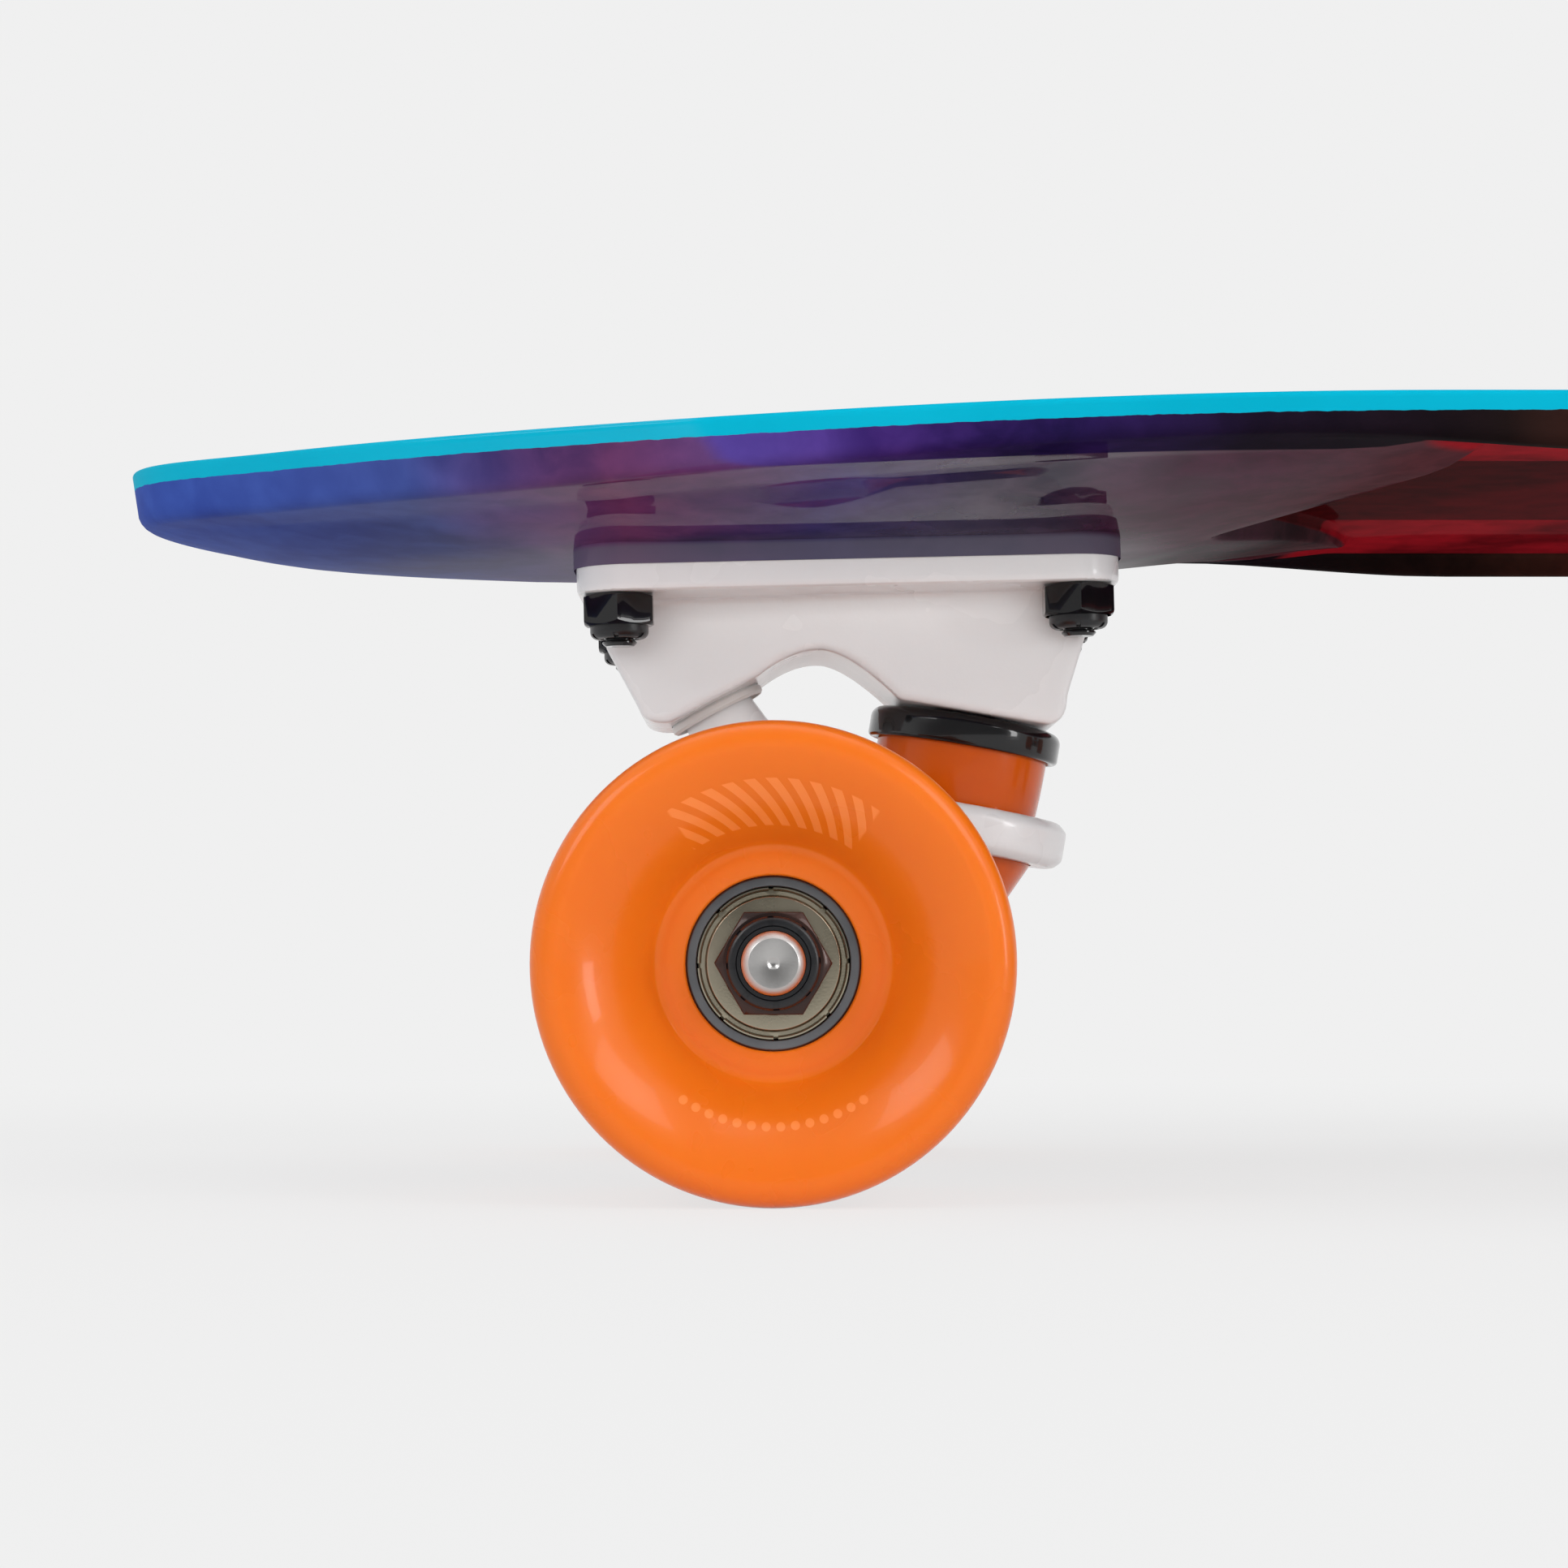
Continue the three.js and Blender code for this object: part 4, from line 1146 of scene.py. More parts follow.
@dataclass
class Truck:
    """One truck: its sizes, and the frames of its pivot and kingpin. X runs inboard from the axle."""

    end: End
    tilt: float = math.radians(1.3)
    axle_to_plate: float = 55.7 * MM
    seat_gap: float = 0.3 * MM
    slip_gap: float = 0.15 * MM
    plate_length: float = 74 * MM
    plate_width: float = 52 * MM
    plate_thickness: float = 4 * MM
    plate_corner: float = 7 * MM
    shrinkage: float = 0.6 * MM
    cast_grain: float = 0.55 * MM
    plate_offset: float = 11.5 * MM
    body_width: float = 30 * MM
    body_pivot_width: float = 23 * MM
    body_inset: float = 2.8 * MM
    body_wall_drop: float = 6.6 * MM
    outer_wall_lean: float = 4.6 * MM
    inner_wall_lean: float = 0.85 * MM
    boss_corner: float = 4 * MM
    boss_lean: float = 3 * MM
    arch_drop: float = 7.9 * MM
    arch_shift: float = 4.2 * MM
    bolt_spacing: Point = (63.5 * MM, 41.3 * MM)
    bolt_diameter: float = 4.76 * MM
    pivot_outboard: float = 9.76 * MM
    pivot_height: float = 41.73 * MM
    pivot_tilt: float = math.radians(26)
    pivot_face: float = 5 * MM
    nose_radius: float = 5.2 * MM
    nose_root: float = 8 * MM
    nose_length: float = 23 * MM
    cup_wall: float = 1.5 * MM
    cup_flange: float = 7.1 * MM
    cup_flange_thickness: float = 1.1 * MM
    ring_inboard: float = 25.63 * MM
    ring_height: float = 18.72 * MM
    kingpin_tilt: float = math.radians(11)
    kingpin_diameter: float = 9.5 * MM
    kingpin_across: float = 14.3 * MM
    kingpin_head: float = 6 * MM
    kingpin_sink: float = 2 * MM
    kingpin_end: float = 1.4 * MM
    kingpin_seat: float = 16.1 * MM
    kingpin_seat_width: float = 21 * MM
    kingpin_nut: float = 6.4 * MM
    ring_radius: float = 16.75 * MM
    ring_thickness: float = 6.5 * MM
    ring_hole: float = 6.4 * MM
    ring_seat: float = 1 * MM
    bushing_radius: float = 12.2 * MM
    lower_bushing: float = 10.4 * MM
    lower_bushing_end: float = 8 * MM
    washer_thickness: float = 1.6 * MM
    hanger_length: float = 80 * MM
    beam_end: float = 8.5 * MM
    beam_middle: float = 9.3 * MM
    crown_rise: float = 17 * MM
    crown_lean: float = math.radians(12)
    crown_share: float = 0.9
    neck_width: float = 25 * MM
    axle_diameter: float = 7.94 * MM

    def __post_init__(self) -> None:
        """Works out the truck's frames and the places along its kingpin."""
        low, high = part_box(f"{self.end.value}_axle")
        axle = (low + high) / 2
        facing = 0 if self.end is End.FRONT else math.pi
        self.level = Matrix.Translation(axle) @ Matrix.Rotation(facing, 4, "Z")
        self.place = self.level @ Matrix.Rotation(-self.tilt, 4, "Y")
        ring = Matrix.Translation((self.ring_inboard, 0, self.ring_height))
        self.kingpin = ring @ Matrix.Rotation(self.kingpin_tilt, 4, "Y")
        ball = Matrix.Translation((-self.pivot_outboard, 0, self.pivot_height))
        self.pivot = ball @ Matrix.Rotation(-self.pivot_tilt, 4, "Y")
        self.plate_under = self.axle_to_plate - self.plate_thickness
        self.kingpin_top = (self.axle_to_plate - self.ring_height) / math.cos(self.kingpin_tilt)
        self.head_top = self.kingpin_top - self.kingpin_sink
        self.head_base = self.head_top - self.kingpin_head
        self.seat = self.ring_thickness / 2 - self.ring_seat
        self.washer_top = self.kingpin_seat - self.seat_gap
        self.upper_top = self.washer_top - self.washer_thickness - self.seat_gap
        self.upper_base = self.seat + self.seat_gap
        self.lower_top = -self.upper_base
        self.lower_base = self.lower_top - self.lower_bushing
        self.lower_washer_top = self.lower_base - self.seat_gap
        self.nut_top = self.lower_washer_top - self.washer_thickness - self.seat_gap
        self.nut_base = self.nut_top - self.kingpin_nut

    @property
    def body(self) -> str:
        """The body that the hanger belongs to."""
        return f"{self.end.value}_truck"

    def named(self, name: str) -> str:
        """A piece's name with the truck's end before it."""
        return f"{self.end.value}_{name}"

    def bolt_places(self) -> list[Point]:
        """The four bolts' places, in the order of their nodes."""
        half_x, half_y = (spacing / 2 for spacing in self.bolt_spacing)
        return [(self.plate_offset + x, y) for x in (-half_x, half_x) for y in (-half_y, half_y)]

    def in_plan(self, matrix: Matrix, x: float, z: float) -> Point:
        """A point of a tilted frame, in the truck's own X and Z."""
        point = matrix @ Vector((x, 0, z))
        return point.x, point.z

    def body_outline(self) -> Profile:
        """The side view of the baseplate's body, from the plate round both bosses."""
        outer = self.plate_offset - self.plate_length / 2 + self.body_inset
        inner = self.plate_offset + self.plate_length / 2 - self.body_inset
        foot = self.plate_under - self.body_wall_drop
        root = self.plate_under + self.plate_thickness / 2
        corner = self.boss_corner
        pivot_out = self.in_plan(self.pivot, -self.cup_flange, -self.pivot_face)
        pivot_in = self.in_plan(self.pivot, self.cup_flange, -self.pivot_face)
        seat_out = self.in_plan(self.kingpin, -self.kingpin_seat_width / 2, self.kingpin_seat)
        seat_in = self.in_plan(self.kingpin, self.kingpin_seat_width / 2, self.kingpin_seat)
        crown = (self.plate_offset - self.arch_shift, self.plate_under - self.arch_drop)
        lean = seat_in[0] + self.boss_lean
        points = [(outer, root), (outer, foot)]
        rounding = (outer + self.outer_wall_lean, pivot_out[1] + corner / 2)
        points += bend(rounding, (pivot_out[0] - corner, pivot_out[1]), pivot_out)
        points += bend(pivot_in, (crown[0] - corner, crown[1]), crown, 12)
        points += bend(crown, (crown[0] + corner, crown[1]), seat_out, 12)[1:]
        points += bend(seat_in, (lean, seat_in[1]), (lean, seat_in[1] + corner), 6)
        points += [(inner - self.inner_wall_lean, foot), (inner, root)]
        return points

    def flange(self) -> Object:
        """The plate, drawn past its top so that the top can be cut sharp."""
        deselect()
        bpy.ops.mesh.primitive_plane_add(size=1)
        plate = started("flange")
        spare = 2 * self.shrinkage
        size = Vector((self.plate_length + spare, self.plate_width + spare, 1))
        foot = Vector((self.plate_offset, 0, self.plate_under - self.shrinkage / 2))
        moulded(plate, lambda p: p * size + foot)
        with editing(plate):
            bpy.ops.mesh.bevel(offset=self.plate_corner, offset_type="OFFSET", segments=8, affect="VERTICES")
            rise = (0, 0, 2 * self.plate_thickness)
            bpy.ops.mesh.extrude_region_move(TRANSFORM_OT_translate={"value": rise})
            bpy.ops.mesh.select_all(action="SELECT")
            bpy.ops.mesh.normals_make_consistent(inside=False)
        return plate

    def baseplate(self) -> Object:
        """The cast baseplate, its seats cut after it is smoothed."""
        half = self.body_width / 2
        points = [Vector((x, -half, z)) for x, z in self.body_outline()]
        body = extruded(outline("boss body", points, filled=True), Vector((0, self.body_width, 0)))
        with editing(body):
            bpy.ops.mesh.bisect(plane_co=(self.plate_offset, 0, 0), plane_no=(1, 0, 0))
        outer = self.plate_offset - self.plate_length / 2
        narrow = self.body_pivot_width / self.body_width

        def tapered(point: Vector) -> Vector:
            share = min(1, (point.x - outer) / (self.plate_offset - outer))
            return Vector((point.x, point.y * between(narrow, 1, share), point.z))

        moulded(body, tapered)
        softened(body, 1.4 * MM, 3)
        plate = cast(joined(self.named("baseplate"), self.flange(), body), self.cast_grain, 9)
        top = self.axle_to_plate
        with editing(plate):
            bpy.ops.mesh.bisect(plane_co=(0, 0, top), plane_no=(0, 0, 1), clear_outer=True, use_fill=True)
        socket = self.nose_radius + self.slip_gap + self.cup_wall + self.slip_gap
        deep = self.plate_length
        corner = (self.kingpin_across / 2 + self.slip_gap) / math.cos(math.pi / 6)
        pocket = extruded(outline("head pocket", hexagon(corner), filled=True), Vector((0, 0, deep)))
        placed(pocket, self.kingpin @ Matrix.Translation((0, 0, self.head_base - self.seat_gap)))
        facing = rod("seat facing", self.kingpin_seat_width / 2 + MM, 0, deep)
        placed(facing, self.kingpin @ Matrix.Translation((0, 0, self.kingpin_seat - deep)))
        tools = [
            placed(rod("socket", socket, -deep, socket), self.pivot),
            placed(rod("kingpin hole", self.kingpin_diameter / 2 + self.slip_gap, 0, deep), self.kingpin),
            facing,
            pocket,
        ]
        for x, y in self.bolt_places():
            hole = rod("bolt hole", self.bolt_diameter / 2 + self.slip_gap, 0, deep, 32)
            tools.append(placed(hole, Matrix.Translation((x, y, 0))))
        combined(plate, "DIFFERENCE", *tools)
        return dressed(placed(rounded(plate), self.place), WHITE_CASTING)

    def dome(self, radius: float, steps: int = 10) -> Profile:
        """A ball's section from its equator to its pole."""
        return [*arc((0, 0), (radius, radius), 0, 90, steps)[:-1], (0, radius)]

    def pivot_cup(self) -> Object:
        """The plastic cup with its flange against the boss."""
        bore = self.nose_radius + self.slip_gap
        body = bore + self.cup_wall
        face = -self.pivot_face - self.seat_gap
        foot = face - self.cup_flange_thickness
        soft = 0.35 * MM
        profile = [(bore + 0.9 * MM, foot), (self.cup_flange - soft, foot), (self.cup_flange, foot + soft)]
        profile += [(self.cup_flange, face), (body, face), (body, body), (0, body), *self.dome(bore)[::-1]]
        cup = spun(self.named("pivot_cup"), profile)
        return dressed(placed(rounded(cup), self.place @ self.pivot), CUP_PLASTIC)

    def beam(self) -> Object:
        """The hanger's beam, round at the ends and tall in the middle."""
        around, along = 64, 48
        half = self.hanger_length / 2
        deselect()
        bpy.ops.mesh.primitive_cylinder_add(vertices=around, radius=1, depth=2, end_fill_type="NGON")
        beam = started("beam")
        with editing(beam):
            for cut in range(1, along):
                bpy.ops.mesh.select_all(action="SELECT")
                bpy.ops.mesh.bisect(plane_co=(0, 0, 2 * cut / along - 1), plane_no=(0, 0, 1))

        def drawn(point: Vector) -> Vector:
            inwards = 1 - abs(point.z)
            rise = self.crown_rise * softly(0, self.crown_share, inwards)
            width = between(self.beam_end, self.beam_middle, inwards)
            across = width * point.x
            up = rise / 2 + (width + rise / 2) * point.y
            lean = self.crown_lean
            x = across * math.cos(lean) + up * math.sin(lean)
            z = up * math.cos(lean) - across * math.sin(lean)
            return Vector((x, point.z * half, z))

        return cleaned(moulded(beam, drawn))

    def hanger(self) -> Object:
        """The cast hanger: beam, ring, neck and pivot nose in one skin, with its seats cut after."""
        half = self.ring_thickness / 2
        edge = 1.2 * MM
        section = [(0, -half), (self.ring_radius - edge, -half), (self.ring_radius, edge - half)]
        ring = placed(spun("ring", mirrored(section)), self.kingpin)
        deselect()
        bpy.ops.mesh.primitive_cube_add(size=1)
        reach = self.ring_radius + self.beam_middle
        size = Vector((reach, self.neck_width, self.ring_thickness))
        neck = moulded(started("neck"), lambda p: (p - Vector((0.5, 0, 0))) * size)
        placed(neck, self.kingpin)
        shoulder = -self.pivot_face - self.cup_flange_thickness - self.seat_gap
        profile = [(0, -self.nose_length), (self.nose_root, -self.nose_length), (self.nose_radius, shoulder)]
        nose = placed(spun("pivot nose", [*profile, *self.dome(self.nose_radius)]), self.pivot)
        hanger = cast(joined(self.named("hanger"), self.beam(), ring, neck, nose), self.cast_grain, 8)
        deep = self.hanger_length
        seat = self.bushing_radius + self.seat_gap
        tools = [
            placed(rod("ring hole", self.ring_hole, -deep, deep), self.kingpin),
            placed(rod("upper seat", seat, self.seat, deep / 2), self.kingpin),
            placed(rod("lower seat", seat, -deep / 2, -self.seat), self.kingpin),
            placed(rod("axle hole", self.axle_diameter / 2 + 0.02 * MM, -deep, deep), CROSSWAYS),
        ]
        combined(hanger, "DIFFERENCE", *tools)
        return dressed(placed(rounded(hanger), self.place), WHITE_CASTING)

    def cupped_washer(self, name: str, radius: float, rim: float, top: float, way: int) -> Object:
        """A pressed washer whose rim cups the bushing.

        Args:
            name: the piece's name.
            radius: the rim's outer radius.
            rim: how deep the rim reaches from the plate's outer face.
            top: the outer face's place along the kingpin.
            way: 1 if the rim runs down, -1 if it runs up.

        Returns:
            The washer.
        """
        bore = self.kingpin_diameter / 2 + self.slip_gap
        wall = 1.2 * MM
        soft = 1.5 * MM
        lip = wall / 2
        section = [(bore, 0), (radius - soft, 0), *arc((radius - soft, -soft), (soft, soft), 90, 0, 7)[1:]]
        section += arc((radius - lip, -rim + lip), (lip, lip), 0, -180, 8)
        section += [(radius - wall, -self.washer_thickness), (bore, -self.washer_thickness)]
        washer = spun(name, [(r, top + way * z) for r, z in section], 96)
        return dressed(placed(rounded(washer, 40), self.place @ self.kingpin), BLACK_STEEL)

    def bushing(self, name: str, section: Profile) -> None:
        """A urethane bushing that gives between board and hanger.

        Args:
            name: the piece's and the node's name.
            section: its (radius, height) points along the kingpin.
        """
        piece = placed(rounded(spun(name, section, 96)), self.place @ self.kingpin)
        dressed(piece, BUSHING_URETHANE)
        piece.name = f"{name}_urethane"
        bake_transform(piece)
        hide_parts(name)
        LOG.info("%s bends between board and %s", piece.name, self.body)

    def add_bushings(self) -> None:
        """Both bushings, with a bore, soft corners and the barrel's slight belly."""
        bore = self.kingpin_diameter / 2 + self.slip_gap
        soft = 0.6 * MM
        radius = self.bushing_radius
        low, high = self.upper_base, self.upper_top
        waist = 0.3 * MM
        foot = radius - waist
        pull = (radius + waist / 2, (low + high) / 2)
        section = [(bore, low), *arc((foot - soft, low + soft), (soft, soft), -90, 0, 4)]
        section += bend((foot, low + soft), pull, (radius, high - soft), 6)[1:]
        section += [*arc((radius - soft, high - soft), (soft, soft), 0, 90, 4)[1:], (bore, high)]
        self.bushing(self.named("upper_bushing"), section)
        low, high = self.lower_base, self.lower_top
        end = self.lower_bushing_end
        section = [(bore, low), *arc((end - soft, low + soft), (soft, soft), -90, -20, 4)]
        section += [(radius, high - self.ring_seat)]
        section += [*arc((radius - soft, high - soft), (soft, soft), 0, 90, 4)[1:], (bore, high)]
        self.bushing(self.named("lower_bushing"), section)

    def kingpin_bolt(self) -> Object:
        """The kingpin: hexagon head, shank and thread."""
        radius = self.kingpin_diameter / 2
        end = self.nut_base - self.kingpin_end
        chamfer = 0.7 * MM
        section = [(0, end), (radius - chamfer, end), (radius, end + chamfer)]
        section += threaded(radius, end + chamfer, self.nut_top + 2 * MM, 1.1 * MM)
        inside = self.head_base + MM
        section += [(radius, self.nut_top + 2.4 * MM), (radius, inside), (0, inside)]
        shank = dressed(rounded(spun("shank", section, 64)), BLACK_STEEL)
        head = HexNut(self.kingpin_across, self.kingpin_head, 0.6 * MM, BLACK_STEEL)
        top = placed(head.block("head"), Matrix.Translation((0, 0, self.head_base)))
        bolt = joined(self.named("kingpin"), shank, top)
        return placed(bolt, self.place @ self.kingpin)

    def kingpin_lock_nut(self) -> Object:
        """The nut under the lower washer."""
        bore = self.kingpin_diameter + 2 * self.slip_gap
        nut = HexNut(self.kingpin_across, self.kingpin_nut, bore, BLACK_STEEL)
        piece = nut.built(self.named("kingpin_nut"))
        return placed(piece, self.place @ self.kingpin @ Matrix.Translation((0, 0, self.nut_base)))

    def add_castings(self) -> None:
        """The baseplate, the hanger and the cup between them."""
        pieces = {"baseplate": self.baseplate(), "pivot_cup": self.pivot_cup(), "hanger": self.hanger()}
        for name, piece in pieces.items():
            node = self.named(name)
            piece.name = f"{node}_casting" if name != "pivot_cup" else f"{node}_liner"
            delivered(piece, self.body if name == "hanger" else "board", node)

    def add_stack(self) -> None:
        """What the kingpin holds together."""
        upper = self.cupped_washer("upper", 13.75 * MM, 4.4 * MM, self.washer_top, 1)
        lower_face = self.lower_washer_top - self.washer_thickness
        lower = self.cupped_washer("lower", 9.8 * MM, 2.4 * MM, lower_face, -1)
        pieces = {
            "upper_washer": upper,
            "lower_washer": lower,
            "kingpin": self.kingpin_bolt(),
            "kingpin_nut": self.kingpin_lock_nut(),
        }
        for name, piece in pieces.items():
            node = self.named(name)
            piece.name = f"{node}_steel"
            delivered(piece, "board", node)
        self.add_bushings()


# Mounting bolts


@dataclass
class MountingBolts:
    """The countersunk bolts through the deck, and their lock nuts."""

    diameter: float = 4.76 * MM
    head_diameter: float = 9.2 * MM
    head_depth: float = 2.3 * MM
    head_sink: float = 0.4 * MM
    end: float = 1 * MM
    socket: float = 3.2 * MM
    socket_depth: float = 1.8 * MM
    nut_across: float = 9.5 * MM
    nut_height: float = 4.4 * MM
    nut_collar: float = 1.8 * MM
    nut_collar_inset: float = 0.7 * MM
    pad_thickness: float = 13.35 * MM

    def head_top(self, truck: Truck) -> float:
        """Where a head's top lies above the axle, in the truck's frame."""
        pad = truck.axle_to_plate + truck.seat_gap
        return pad + self.pad_thickness * math.cos(truck.tilt) - self.head_sink

    def bolt(self, truck: Truck) -> Object:
        """One bolt, threaded at its end, with a hexagon socket."""
        top = self.head_top(truck)
        radius = self.diameter / 2
        foot = truck.plate_under - truck.seat_gap - self.nut_height - self.nut_collar - self.end
        chamfer = 0.4 * MM
        section = [(0, foot), (radius - chamfer, foot), (radius, foot + chamfer)]
        section += threaded(radius, foot + chamfer, foot + 9 * MM, 0.8 * MM)
        rim = self.head_diameter / 2 - 0.1 * MM
        section += [(radius, foot + 9.4 * MM), (radius, top - self.head_depth), (rim, top - 0.25 * MM)]
        section += [(rim, top - 0.05 * MM), (rim - 0.1 * MM, top), (0, top)]
        bolt = spun("bolt", section, 48)
        corners = hexagon(self.socket / 2 / math.cos(math.pi / 6), top - self.socket_depth)
        socket = extruded(outline("socket", corners, filled=True), Vector((0, 0, 3 * MM)))
        return dressed(rounded(combined(bolt, "DIFFERENCE", socket)), BLACK_STEEL)

    def add(self, trucks: Sequence[Truck]) -> None:
        """Models one bolt and one nut, and copies them to every hole.

        Args:
            trucks: the trucks that they hold.
        """
        bolt = self.bolt(trucks[0])
        collar = (self.nut_collar, self.nut_collar_inset)
        bore = self.diameter + 0.3 * MM
        nut = HexNut(self.nut_across, self.nut_height, bore, BLACK_STEEL, *collar, crimps=6).built("lock nut")
        upside_down = Matrix.Rotation(math.pi, 4, "X") @ Matrix.Rotation(math.pi / 6, 4, "Z")
        for truck in trucks:
            nut_top = truck.plate_under - truck.seat_gap
            for number, (x, y) in enumerate(truck.bolt_places(), 1):
                place = truck.place @ Matrix.Translation((x, y, 0))
                bolt_node = truck.named(f"bolt_{number}")
                nut_node = truck.named(f"lock_nut_{number}")
                delivered(copied(bolt, f"{bolt_node}_steel", place), "board", bolt_node)
                seated = place @ Matrix.Translation((0, 0, nut_top)) @ upside_down
                delivered(copied(nut, f"{nut_node}_steel", seated), "board", nut_node)
        for model in (bolt, nut):
            bpy.data.objects.remove(model)


# Axles and wheels


@dataclass
class RollingGear:
    """An axle with its wheels, bearings and nuts. Each is modelled on Z and turned into its place."""

    hanger_length: float = 80 * MM
    axle_diameter: float = 7.94 * MM
    bearing_diameter: float = 22 * MM
    bearing_width: float = 7 * MM
    spacer_length: float = 10 * MM
    speed_washer: float = 1 * MM
    nut_across: float = 12.7 * MM
    nut_height: float = 5 * MM
    nut_collar: float = 1.5 * MM
    axle_end: float = 2 * MM
    wheel_diameter: float = 60 * MM
    wheel_width: float = 45 * MM
    rib_radius: float = 9.4 * MM
    lip_width: float = 1.9 * MM
    lip_height: float = 0.7 * MM
    lip_curves: tuple = (
        (5, (-0.6, 0), (0.3, 0), (0.9, 0.22)),
        (4, (1.1, 0.27), (1.7, 0.35), (2.1, 0.1)),
    )
    dish_pulls: tuple[Point, Point] = ((0.21, 0.40), (0.58, 0.84))
    shoulder: float = 2.9 * MM
    shield_inner: Sequence[Point] = ((6.35, 0.55), (6.35, 0.3), (6.5, 0.18), (8.15, 0.18))
    shield_outer: Sequence[Point] = (
        (8.6, 0.5), (9.05, 0.5), (9.15, 0.3), (9.3, 0.2), (9.5, 0.25), (9.63, 0.4)
    )

    def __post_init__(self) -> None:
        """Works out where the stack on the axle lies."""
        self.stack = 2 * self.bearing_width + self.spacer_length + 2 * self.speed_washer
        self.start = self.hanger_length / 2
        self.middle = self.start + self.stack / 2

    def wheel(self) -> Object:
        """The wheel, with the flat map of its face that the marks are read from."""
        half = self.wheel_half()
        section = [(radius, -out) for radius, out in half] + half[::-1]
        wheel = rounded(spun("wheel", section, 144), 40)
        flat = wheel.data.uv_layers.new(name="face")
        scale = 1 / self.wheel_diameter
        for loop in wheel.data.loops:
            point = wheel.data.vertices[loop.vertex_index].co
            side = 1 if point.z > 0 else -1
            flat.data[loop.index].uv = (0.5 + side * point.x * scale, 0.5 + point.y * scale)
        return dressed(wheel, WHEEL_URETHANE)

    def wheel_half(self) -> Profile:
        """The wheel's section from the rib between the bearings to the tread's middle."""
        radius = self.wheel_diameter / 2
        seat = self.bearing_diameter / 2
        rib = self.spacer_length / 2
        bearing_face = rib + self.bearing_width
        lip_top = bearing_face + self.lip_height
        lip = seat + self.lip_width
        face = self.wheel_width / 2
        crest = radius - self.shoulder
        soft = 0.35 * MM
        points = [(self.rib_radius, rib - soft), (self.rib_radius + soft, rib), (seat, rib)]
        points += arc((seat + soft, lip_top - soft), (soft, soft), 180, 90, 4)
        for steps, *curve in self.lip_curves:
            points += bend(*[(lip + out * MM, lip_top - drop * MM) for out, drop in curve], steps)
        low = points[-1]
        ridge = arc((crest, face - self.shoulder), (self.shoulder, self.shoulder), 103, 0, 16)
        points += self.dish(low, ridge[0])
        return points + ridge[1:]

    def dish(self, low: Point, high: Point) -> Profile:
        """The face's hollow, steep by the hub and still climbing a little at the ridge.

        Args:
            low: where it starts, by the lip.
            high: where it ends, on the ridge.

        Returns:
            The points after the first.
        """
        points = []
        pulls = [(between(low[0], high[0], x), between(low[1], high[1], z)) for x, z in self.dish_pulls]
        for step in range(1, 19):
            t = step / 18
            weights = ((1 - t) ** 3, 3 * t * (1 - t) ** 2, 3 * t * t * (1 - t), t**3)
            points.append(weighed(weights, (low, *pulls, high)))
        return points

    def bearing(self) -> Object:
        """The outer ring and the shields, with the nicks that keep a shield in."""
        radius = self.bearing_diameter / 2 - 0.02 * MM
        groove = 9.65 * MM
        half = self.bearing_width / 2
        soft = 0.3 * MM
        section = [(groove, half - 0.5 * MM), (groove, half - 0.1 * MM), (groove + 0.1 * MM, half)]
        section += arc((radius - soft, half - soft), (soft, soft), 90, 0, 4)
        ring = dressed(rounded(spun("outer ring", mirrored(section), 96)), RING_STEEL)
        section = [(out * MM, half - drop * MM) for out, drop in self.shield_inner]
        step = (self.shield_inner[-1][0] * MM, half - 0.43 * MM)
        section += arc(step, (0.3 * MM, 0.25 * MM), 90, 10, 4)[1:]
        section += [(out * MM, half - drop * MM) for out, drop in self.shield_outer]
        shield = spun("shield", mirrored(section), 96)

        def nicked(face: Face) -> bool:
            centre = face.center
            turn = math.degrees(math.atan2(centre.y, centre.x)) % 45
            outside = math.hypot(centre.x, centre.y) > 9.06 * MM
            return turn < 4 and outside and abs(centre.z) > half - 0.42 * MM

        choose_faces(shield, nicked)
        with marked(shield):
            bpy.ops.mesh.extrude_region_shrink_fatten(TRANSFORM_OT_shrink_fatten={"value": -0.2 * MM})
        dressed(rounded(cleaned(shield)), SHIELD_STEEL)
        return joined("bearing", ring, shield)

    def core(self) -> Object:
        """The inner rings, the spacer and the speed washers."""
        bore = self.axle_diameter / 2 + 0.02 * MM
        end = self.stack / 2
        ring = 6.0 * MM
        washer = 5.6 * MM
        spacer = self.spacer_length / 2
        soft = 0.25 * MM
        half = [(bore, end), (washer - soft, end), (washer, end - soft), (washer, end - self.speed_washer)]
        half += [(ring - soft, end - self.speed_washer), (ring, end - self.speed_washer - soft)]
        half += [(ring, spacer + soft), (ring - soft, spacer), (5.2 * MM, spacer)]
        section = half[::-1] + [(r, -z) for r, z in half]
        return dressed(rounded(spun("core", section[::-1], 64)), BRIGHT_STEEL)

    def axle(self, name: str) -> Object:
        """The axle, threaded and chamfered at both ends, with its centre dimples."""
        radius = self.axle_diameter / 2
        end = self.start + self.stack + self.nut_height + self.nut_collar + self.axle_end
        chamfer = 0.9 * MM
        dimple = 0.9 * MM
        thread = end - chamfer - 12 * MM
        half = [(0, end - dimple), (dimple * 0.7, end - 0.1 * MM), (dimple, end), (radius - chamfer, end)]
        half += [(radius - chamfer * 0.3, end - chamfer * 0.45), (radius, end - chamfer)]
        half += threaded(radius, thread, end - chamfer, 1.06 * MM, -1)
        half += [(radius, thread - 0.4 * MM)]
        return dressed(rounded(spun(name, mirrored(half), 64)), BRIGHT_STEEL)

